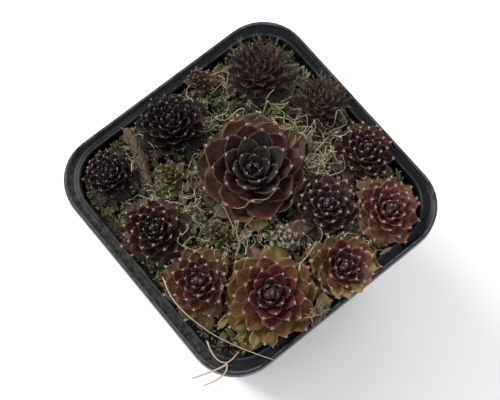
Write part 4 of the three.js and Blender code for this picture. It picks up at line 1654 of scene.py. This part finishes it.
# Each piece of leaves: its colour, how many are scattered, the places chosen for more, and the
# ranges of their length in millimetres and of their bend.
STRAYS = {
    "stray_leaves": ("green", 230, [], (1.9, 3.8), (-0.05, 0.35)),
    "offset_leaves": ("offset", 0, BETWEEN_CHICKS, (4.2, 6.0), (0, 0.3)),
    "mint_leaves": ("mint", 34, MINT_PLACES, (1.8, 3.2), (-0.05, 0.35)),
    "teal_leaves": ("teal", 16, TEAL_PLACES, (2.6, 4.4), (-0.05, 0.35)),
}
tips = []
for name, (colour, count, chosen, length, curl) in STRAYS.items():
    leafy = Pile(*MARKS)
    tips += stray_leaves(leafy, scatter(count, dice, -0.8, 2.2) + chosen, dice, length, curl, 0)
    finish_piece(leafy.object(name), LEAF_MATERIALS[colour])

# %% [markdown]
# The listed leaves: lime ones over the older leaves at the front, the oldest leaves of the
# front chick, which have yellowed and lie over the rim like a skirt, and golden olive ones that
# fill the gap behind the rosy chick and two places beside the hen.

# %% Lime, yellowed and golden leaves
# Each row: the root's x, y and z, the way and rise in degrees, the size and the half width as a
# share of it.
LAID_LIMES = [
    (-25.8, -24.8, 80.4, 225, 2, 4.2, 0.2), (-26.4, -27.6, 80.3, 212, 4, 4.4, 0.3),
    (-28.8, -26.3, 80.2, 193, 0, 6.2, 0.2), (-27.4, -30.2, 80.0, 228, 0, 6.2, 0.2),
    (-27.6, -31.2, 80.0, 205, 8, 4.2, 0.28), (-26.2, -35.0, 81.2, 222, -6, 5.4, 0.32),
    (-23.2, -38.0, 81.2, 238, -6, 5.0, 0.34), (-4.3, -38.9, 81.8, 250, -8, 4.8, 0.34),
    (-6.2, -40.4, 81.2, 225, -4, 3.2, 0.34),
]
LAID_GOLDEN = [
    (26.7, -24.0, 82.0, 93, 10, 5.0, 0.3), (28.2, -24.8, 82.2, 78, 10, 5.0, 0.3),
    (29.6, -26.6, 82.6, 62, 8, 4.9, 0.3), (30.3, -28.4, 83.0, 44, 8, 4.8, 0.3),
    (25.6, -26.4, 81.8, 107, 8, 4.9, 0.3), (24.2, -28.0, 81.8, 126, 8, 4.8, 0.3),
    (-35.8, 10.0, 81.4, 138, 6, 3.9, 0.34), (-3.2, -7.4, 82.8, 233, -6, 6.2, 0.5),
    (-15.6, 11.4, 81.4, 48, 6, 2.9, 0.34),
]
# Round the front chick: way, reach from its axis, height and size.
YELLOWED = [
    (-140, 4.8, 82.2, 5.4), (-119, 4.8, 82.0, 5.8), (-95, 4.6, 82.3, 5.8),
    (-70, 4.8, 82.1, 5.6), (-45, 5.0, 82.3, 5.6), (-20, 5.0, 82.2, 5.2),
]
YELLOWED_RISE = 14


def lay_leaves(pile, rows, bend, cup, dice):
    """Lay listed leaves, all with one bend and hollow; gives back their tips."""
    tips = []
    for *spot, size, share in rows:
        tips.append(laid_leaf(pile, spot, (size, share * size, bend, cup), dice))
    return tips


limes = Pile(*MARKS)
tips += stray_leaves(limes, LIME_PLACES, dice, (3.2, 4.8), (0, 0.3), 0)
tips += lay_leaves(limes, LAID_LIMES, 0.05, 0.45, dice)
finish_piece(limes.object("lime_leaves"), LEAF_MATERIALS["lime"])
yellowed = Pile(*MARKS)
front_x, front_y = next(head["at"] for head in HEADS if head["node"] == "chick_04")
rows = []
for way, reach, z, size in YELLOWED:
    x = front_x + reach * math.cos(math.radians(way))
    y = front_y + reach * math.sin(math.radians(way))
    rows.append((x, y, z, way, YELLOWED_RISE, size, 0.36))
tips += lay_leaves(yellowed, rows, -0.02, 0.4, dice)
finish_piece(yellowed.object("yellowed_leaves"), LEAF_MATERIALS["yellow"])
golden = Pile(*MARKS)
tips += lay_leaves(golden, LAID_GOLDEN, 0.03, 0.45, dice)
finish_piece(golden.object("golden_leaves"), LEAF_MATERIALS["golden"])

# %% Tufts of the loose leaves, and dead leaves
TUFT_HAIRS = 9
stray_tufts = Pile()
for tip, way in tips:
    for _ in range(TUFT_HAIRS):
        hair_way = way.normalized() + spread_of(dice, 0.6)
        add_needle(stray_tufts, tip, hair_way, dice.uniform(0.4, 0.9), TUFT_RADIUS)
finish_piece(stray_tufts.object("stray_tufts"), white_hair)
dead = Pile(*MARKS)
stray_leaves(dead, scatter(34, dice, -0.5, 2.5), dice, (2.6, 4.6), (-0.45, 0.5), 1)
finish_piece(dead.object("dead_leaves"), LEAF_MATERIALS["dry"])

# %% [markdown]
# ## Straw, roots and cobweb
#
# Dry grass lies over the mix and the rim, and fine pale roots and cobweb threads cross the gaps.
# A thread is one square rod, cut into many short lengths and bent along a smooth path. A curve
# object could do it too, but a copied blank lets hundreds of threads join into one mesh.


# %% Model the rods and bend them
def rod_blank(name, sides, lengths):
    """A unit rod up Z, cut across so that it can bend."""
    def cut_across():
        for k in range(1, lengths):
            bpy.ops.mesh.bisect(plane_co=(0, 0, k / lengths), plane_no=(0, 0, 1))
            bpy.ops.mesh.select_all(action="SELECT")

    size = {"vertices": sides, "radius": 1, "depth": 1, "location": (0, 0, 0.5)}
    return small_blank(name, lambda: bpy.ops.mesh.primitive_cylinder_add(**size), cut_across)


thread_blank = rod_blank("thread", 4, 42)
root_blank = rod_blank("root", 3, 11)


def smooth_path(points):
    """A Catmull-Rom curve through points, as a function of 0 to 1."""
    ends = [points[0] * 2 - points[1], *points, points[-1] * 2 - points[-2]]

    def at(t):
        t = min(max(t, 0), 1) * (len(points) - 1)
        k = min(int(t), len(points) - 2)
        t -= k
        a, b, c, d = ends[k:k + 4]
        square, cube = 2 * a - 5 * b + 4 * c - d, 3 * b - a - 3 * c + d
        return 0.5 * (2 * b + (c - a) * t + square * t * t + cube * t ** 3)

    return at


def add_thread(pile, points, radius, tint, taper=0.5, blank=thread_blank):
    """Bend a copy of a rod along a path, thinner toward its end."""
    path = smooth_path(points)
    bent = []
    for x, y, t in blank[0]:
        here, ahead = path(t), path(t + 0.01) - path(t - 0.01)
        side = ahead.cross(Vector((0.1, 0.05, 1))).normalized()
        up = ahead.cross(side).normalized()
        thick = radius * (1 - taper * t)
        bent.append(here + side * x * thick + up * y * thick)
    pile.add(bent, blank[1], tint=tint)


# %% [markdown]
# A loose thread lies on what is under it. The surfaces made so far go into one tree of faces, and
# rays cast straight down on it find the height to lie at. Dips are then evened out, because a
# stiff straw bridges them.

# %% Find what a thread lies on
LITTER = ("bark_chips", "moss_sprigs", "stray_leaves", "mint_leaves", "teal_leaves",
          "lime_leaves", "dead_leaves", "offset_leaves")
RAY_START = 150  # millimetres up, above everything


def surface_tree(pieces):
    """The pieces' faces as one tree that rays can be cast on, in millimetres."""
    points, faces = [], []
    for thing in pieces:
        first = len(points)
        points += [v.co / MM for v in thing.data.vertices]
        faces += [tuple(first + i for i in p.vertices) for p in thing.data.polygons]
    return BVHTree.FromPolygons(points, faces)


ground = [pot, soil, *(bpy.data.objects[head["node"] + "_leaves"] for head in HEADS)]
solid_tree = surface_tree([*ground, *(bpy.data.objects[name] for name in LITTER)])


def rest_height(x, y, reach=0.9):
    """What a loose thread lies on: the highest surface near a place."""
    heights = []
    for dx, dy in ((0, 0), (reach, 0), (-reach, 0), (0, reach), (0, -reach)):
        hit = solid_tree.ray_cast(Vector((x + dx, y + dy, RAY_START)), -UP)[0]
        if hit is not None:
            heights.append(hit.z)
    return max(heights)


def lying_path(route, radius, samples=15):
    """A route over the ground, laid on what is under it, with its dips evened out."""
    flat = smooth_path([Vector((x, y, 0)) for x, y in route])
    spots = [flat(k / (samples - 1)) for k in range(samples)]
    heights = [rest_height(p.x, p.y) + radius for p in spots]
    for _ in range(2):
        eased = list(heights)
        for k in range(1, samples - 1):
            eased[k] = max(heights[k], 0.5 * (heights[k - 1] + heights[k + 1]))
        heights = eased
    return [Vector((p.x, p.y, z)) for p, z in zip(spots, heights)]


print("the hen's top:", round(rest_height(*HEN["at"]), 1), "mm up")

# %% [markdown]
# Two broad leaves are torn off and lie on the plant, red-brown. At the front, husks of dead leaves
# have dropped on the rim: narrow dry leaves, laid at whatever height the surface has there.

# %% Torn leaves and fallen husks
# Root x, y, z, way and rise; then length, half width, bend and hollow.
TORN = [((7.6, -20.8, 83.3, 166, -10), (7.6, 2.7, -0.02, 0.4)),
        ((1.8, -29.0, 80.2, 250, 5), (5.0, 1.5, -0.08, 0.4))]
TORN_AGE = 0.55
HUSK_SLIM = 0.42
HUSK_PLACES = [
    (-14, -43.2), (-13, -44.5), (-12.4, -43.4), (-11.5, -44.8), (-11, -43.5), (-10.3, -45),
    (-10, -43), (-9.3, -44.4), (-8.8, -42.9), (-8.2, -44.9), (-7.8, -43.6), (-7.2, -42.2),
    (-6.8, -44.4), (-6.2, -43.2), (-9.6, -41.8), (-12, -42.2), (-10.6, -44.2), (-8.6, -44),
    (-7.6, -45), (-12.2, -45), (17, -40.8),
]


def husk_ground(x, y):
    return rest_height(x, y, 0.5) + 0.4


torn = Pile(*MARKS)
for spot, shape in TORN:
    laid_leaf(torn, spot, shape, dice, TORN_AGE)
finish_piece(torn.object("torn_leaves"), LEAF_MATERIALS["russet"])
fallen = Pile(*MARKS)
stray_leaves(fallen, HUSK_PLACES, dice, (2.6, 4.8), (-0.3, 0.5), 1, husk_ground, HUSK_SLIM)
finish_piece(fallen.object("fallen_husks"), LEAF_MATERIALS["husk"])

# %% [markdown]
# The straws are listed, each as a radius and a route. Those that lean out over the rim have
# heights of their own, and the rest lie on what is under them.

# %% Straws
STRAWS = [
    (0.22, [(-13.6, -41.8), (-10.8, -43.4), (-7.6, -43.6), (-5.2, -44.4)]),
    (0.18, [(-10.6, -40.6), (-9.6, -43.0), (-10.8, -45.2)]),
    (0.16, [(-7.6, -41.4), (-7.2, -43.4), (-8.6, -45.2)]),
    (0.2, [(-12.6, -40.8), (-12.0, -43.2), (-12.8, -45.4)]),
    (0.12, [(-9.0, -3.4), (-6.4, -5.3), (-3.6, -5.8), (0.0, -8.0), (2.4, -8.2), (5.6, -7.8)]),
    (0.24, [(-37.8, -4.9), (-39.5, -10.2), (-39.9, -15.6), (-38.9, -21.6), (-36.2, -29.5),
            (-32.0, -38.6), (-28.0, -45.4)]),
    (0.3, [(-39.2, -27.2), (-40.6, -31.4), (-40.8, -34.6), (-39.6, -36.9), (-37.2, -37.4),
           (-34.2, -36.6)]),
    (0.24, [(-6.3, -30.5), (-4.0, -28.7), (-1.2, -27.9), (2.1, -27.1), (5.1, -26.0)]),
    (0.2, [(17.1, 21.9), (19.4, 18.3), (22.5, 15.8), (26.4, 14.2)]),
    (0.2, [(24.2, 11.6), (25.8, 8.5), (28.7, 5.7)]),
    (0.16, [(-30.7, 20.8), (-27.6, 20.9), (-25.9, 17.9), (-24.1, 16.4)]),
    (0.16, [(29.7, -2.0), (24.5, -3.2), (21.3, -3.9), (16.7, -5.6)]),
    (0.14, [(28.1, -5.1), (25.3, -7.2), (20.1, -8.4)]),
    (0.18, [(15.4, -34.4), (17.3, -38.2), (20.4, -41.9)]),
]
OVERHANGS = [
    (0.32, [(-39.3, -37.6, 80.5), (-41.6, -37.3, 80.6), (-45.2, -36.2, 80.4),
            (-50.0, -34.4, 79.7)]),
    (0.26, [(-39.6, -37.9, 80.4), (-41.4, -39.2, 80.5), (-44.4, -39.4, 80.4),
            (-48.8, -38.2, 79.6)]),
]
straw = Pile("tint")
for radius, route in STRAWS:
    add_thread(straw, lying_path(route, radius), radius, dice.uniform(0.45, 0.85))
for radius, route in OVERHANGS:
    add_thread(straw, [Vector(spot) for spot in route], radius, 0.8, 0.3)
print("straws:", len(STRAWS) + len(OVERHANGS))

# %% Scattered fibres
FIBRES = 60
FIBRE_BOW = 0.35


def beside(x, y, way, ahead, aside):
    """The place so far ahead of x, y and so far to the left of that way, in millimetres."""
    return (x + ahead * math.cos(way) - aside * math.sin(way),
            y + ahead * math.sin(way) + aside * math.cos(way))


for x, y in scatter(FIBRES, dice, -0.5):
    if x + y < BARE_CORNER:
        continue
    length, way = dice.uniform(3, 9), dice.uniform(0, 2 * math.pi)
    bow = dice.uniform(-FIBRE_BOW, FIBRE_BOW)
    points = []
    for k in range(5):
        t = k / 4 - 0.5
        px, py = beside(x, y, way, length * t, length * bow * (0.5 - 2 * t * t))
        if inside_wall(px, py) < 0.5:
            break
        points.append(Vector((px, py, soil_height(px, py) + dice.uniform(0.8, 3.2))))
    if len(points) > 2:
        add_thread(straw, points, dice.uniform(0.05, 0.13), dice.random(), blank=root_blank)
print("straw and fibre faces:", len(straw.faces))

# %% [markdown]
# Pale curled rootlets and grit lie in the hollows, where old leaves have rotted away. A rootlet is
# a short arc that climbs a little.

# %% Curled rootlets and grit in the hollows
CURL_PLACES = [
    (17.6, -7.4), (18.6, -8.4), (17, -28), (-8, -13), (1, -15.5), (18.5, -9.5), (21, -5),
    (-11, -10), (17.5, -26), (-5, -14), (16.5, -29.5),
]
CURL_STARTS = (0, 6.28)  # radians
CURL_ARCS = (0.9, 2.6)  # radians
CURL_CLIMB = 0.25
curl_grit = Pile("tint")
for x, y in CURL_PLACES:
    for _ in range(9):
        px, py = x + dice.gauss(0, 1.6), y + dice.gauss(0, 1.6)
        size = dice.uniform(0.5, 1.5)
        start, arc = dice.uniform(*CURL_STARTS), dice.uniform(*CURL_ARCS)
        base = soil_height(px, py) + dice.uniform(3.0, 5.6)
        points = []
        for k in range(5):
            a = start + arc * k / 4
            points.append(Vector((px + size * math.cos(a), py + size * math.sin(a),
                                  base + CURL_CLIMB * k)))
        radius, tint = dice.uniform(0.08, 0.16), dice.uniform(0.75, 1.0)
        add_thread(straw, points, radius, tint, 0.5, root_blank)
    for _ in range(5):
        px, py = x + dice.gauss(0, 1.8), y + dice.gauss(0, 1.8)
        place = Matrix.Translation((px, py, soil_height(px, py) + dice.uniform(2.5, 5.0)))
        place = place @ random_turn(dice) @ Matrix.Scale(dice.uniform(0.4, 0.8), 4)
        add_copy(curl_grit, grit_blank, place, dice.random(), 0.5)
finish_piece(curl_grit.object("hollow_grit", smooth=False), pale_grit)

# %% [markdown]
# Fine pale roots run over the mix in waves, most of them at the right and the front. A root that
# would cross a rosette, the wall or the bare corner is left out.

# %% Wavy roots
ROOT_TRIES = 400
STRAW_COLOURS = [(0.09, 0.055, 0.03), (0.19, 0.13, 0.075), (0.31, 0.25, 0.16), (0.42, 0.37, 0.27)]


def thinned(x, y, dice):
    """Whether a root is left out because few grow at its place."""
    if x + y < BARE_CORNER:
        return True
    return (x < 6 or y > 14) and dice.random() < (0.72 if y > 14 else 0.5)


def is_open(x, y):
    return inside_wall(x, y) > 1.5 and gap_at(x, y) > -1.2 and x + y > BARE_CORNER


root_count = 0
for x, y in scatter(ROOT_TRIES, dice, 0.0):
    if thinned(x, y, dice):
        continue
    way, length, wave = dice.uniform(0, 2 * math.pi), dice.uniform(3, 10), dice.uniform(0.06, 0.3)
    phase, turns = dice.uniform(0, 2 * math.pi), dice.uniform(0.5, 1.4)
    route = []
    for k in range(6):
        t = k / 5 - 0.5
        sway = length * wave * math.sin(2 * math.pi * turns * t + phase)
        route.append(beside(x, y, way, length * t, sway))
    if all(is_open(*spot) for spot in route):
        path = lying_path(route, 0.12, 8)
        radius, tint = dice.uniform(0.07, 0.19), dice.uniform(0.55, 1.0)
        add_thread(straw, path, radius, tint, taper=0.65, blank=root_blank)
        root_count += 1
print("roots laid:", root_count)
dry_straw = tinted_material("dry straw", STRAW_COLOURS, 0.6, 0.05)
finish_piece(straw.object("straw_and_roots"), dry_straw)

# %% [markdown]
# Runners are the green stems that tie chicks to the hen. Most are hidden, and a few show as they
# cross a gap. Cobweb is a haze of short fine wisps down in the gaps.

# %% Runners and cobweb
RUNNERS = [
    (0.44, [(16.8, 15.9), (19.4, 17.4), (22.8, 16.8), (26.2, 14.6)]),
    (0.38, [(19.9, 13.8), (22.0, 12.6), (24.0, 10.4), (24.9, 7.6)]),
    (0.34, [(16.9, -6.0), (19.6, -7.2), (22.4, -7.2), (25.6, -6.4)]),
    (0.28, [(23.0, -4.6), (22.6, -7.6), (20.8, -11.4)]),
    (0.26, [(-9.8, -6.6), (-12.4, -8.8), (-13.6, -11.8), (-17.0, -14.0)]),
    (0.24, [(-13.4, 6.6), (-16.2, 7.8), (-19.6, 6.4)]),
]
runners = Pile("tint")
for radius, route in RUNNERS:
    add_thread(runners, lying_path(route, radius), radius, dice.random(), 0.3)
runner_green = pale_material("pale green runner", (0.17, 0.165, 0.072), (0.32, 0.3, 0.17))
finish_piece(runners.object("runners"), runner_green)
WISP_RADIUS = 0.045
web = Pile()
for x, y in scatter(900, dice, -1.5):
    root = Vector((x, y, soil_height(x, y) + dice.uniform(0.5, 3.6)))
    way = Vector((dice.gauss(0, 1), dice.gauss(0, 1), dice.gauss(0.1, 0.35)))
    add_needle(web, root, way, dice.uniform(0.8, 2.6), WISP_RADIUS)
finish_piece(web.object("cobweb_wisps"), white_hair)

# %% [markdown]
# ## The dry flower stalk
#
# A rosette that has flowered dies and leaves a brown stalk, here broken short. It is a bent,
# tapering stem with papery scales that clasp it, each a dry copy of the chicks' leaf, and frayed
# fibres all along it.

# %% Model the stalk
STALK_FOOT = Vector((-25.2, 15.5, 74.3))
STALK_TIP = Vector((-18.2, 35.2, 86))
STALK_RADIUS = 1.3
STALK_BOWS = [(0, 0), (0.35, 0.5), (0.7, 0.3), (1, -0.3)]  # share of the length, bow
SCALES = 34
axis = STALK_TIP - STALK_FOOT
side = axis.cross(UP).normalized()
path = smooth_path([STALK_FOOT + axis * t + side * bow for t, bow in STALK_BOWS])


def along_stalk(t):
    """A point on the stalk's axis and the way that it runs there."""
    return path(t), (path(t + 0.02) - path(t - 0.02)).normalized()


stalk = Pile(*MARKS)
rod = Pile("tint")
add_thread(rod, [path(t / 4) for t in range(5)], STALK_RADIUS * 0.8, 0.4, 0.35)
stalk.add(rod.points, rod.faces, age=1.0, tint=0.3, dry=1.0, along=0.4, across=0.0)
for k in range(SCALES):
    t = 0.08 + 0.9 * k / (SCALES - 1)
    here, ahead = along_stalk(t)
    out = Matrix.Rotation(k * GOLDEN_ANGLE, 3, ahead) @ ahead.orthogonal().normalized()
    across = out.cross(ahead)
    size, half = dice.uniform(3.4, 5.2), dice.uniform(1.0, 1.5)
    points = []
    for u, v, w in CHICK_BLANK["points"]:
        lift = STALK_RADIUS * (0.85 - 0.25 * t) + 1.3 * u * u - 0.35 * half * v * v + 0.18 * w
        points.append(here + ahead * size * u * 0.9 + out * lift + across * v * half)
    stalk.add(points, CHICK_BLANK["faces"], age=1.0, tint=dice.random(), dry=1.0,
              **CHICK_BLANK["marks"])
print("stalk faces:", len(stalk.faces))

# %% Fray the stalk
STALK_FIBRES = 420
fibres = Pile()
for _ in range(STALK_FIBRES):
    t = dice.random()
    here, ahead = along_stalk(t)
    turn = Matrix.Rotation(dice.uniform(0, 2 * math.pi), 3, ahead)
    out = turn @ ahead.orthogonal().normalized()
    root = here + out * STALK_RADIUS * (1.15 - 0.3 * t)
    way = out + ahead * dice.uniform(0.2, 1.8)
    add_needle(fibres, root, way, dice.uniform(0.5, 1.3), 0.035)
finish_piece(fibres.object("stalk_fibres"), buff_hair)
finish_piece(stalk.object("dry_flower_stalk"), LEAF_MATERIALS["dry"], "dry_stalk")
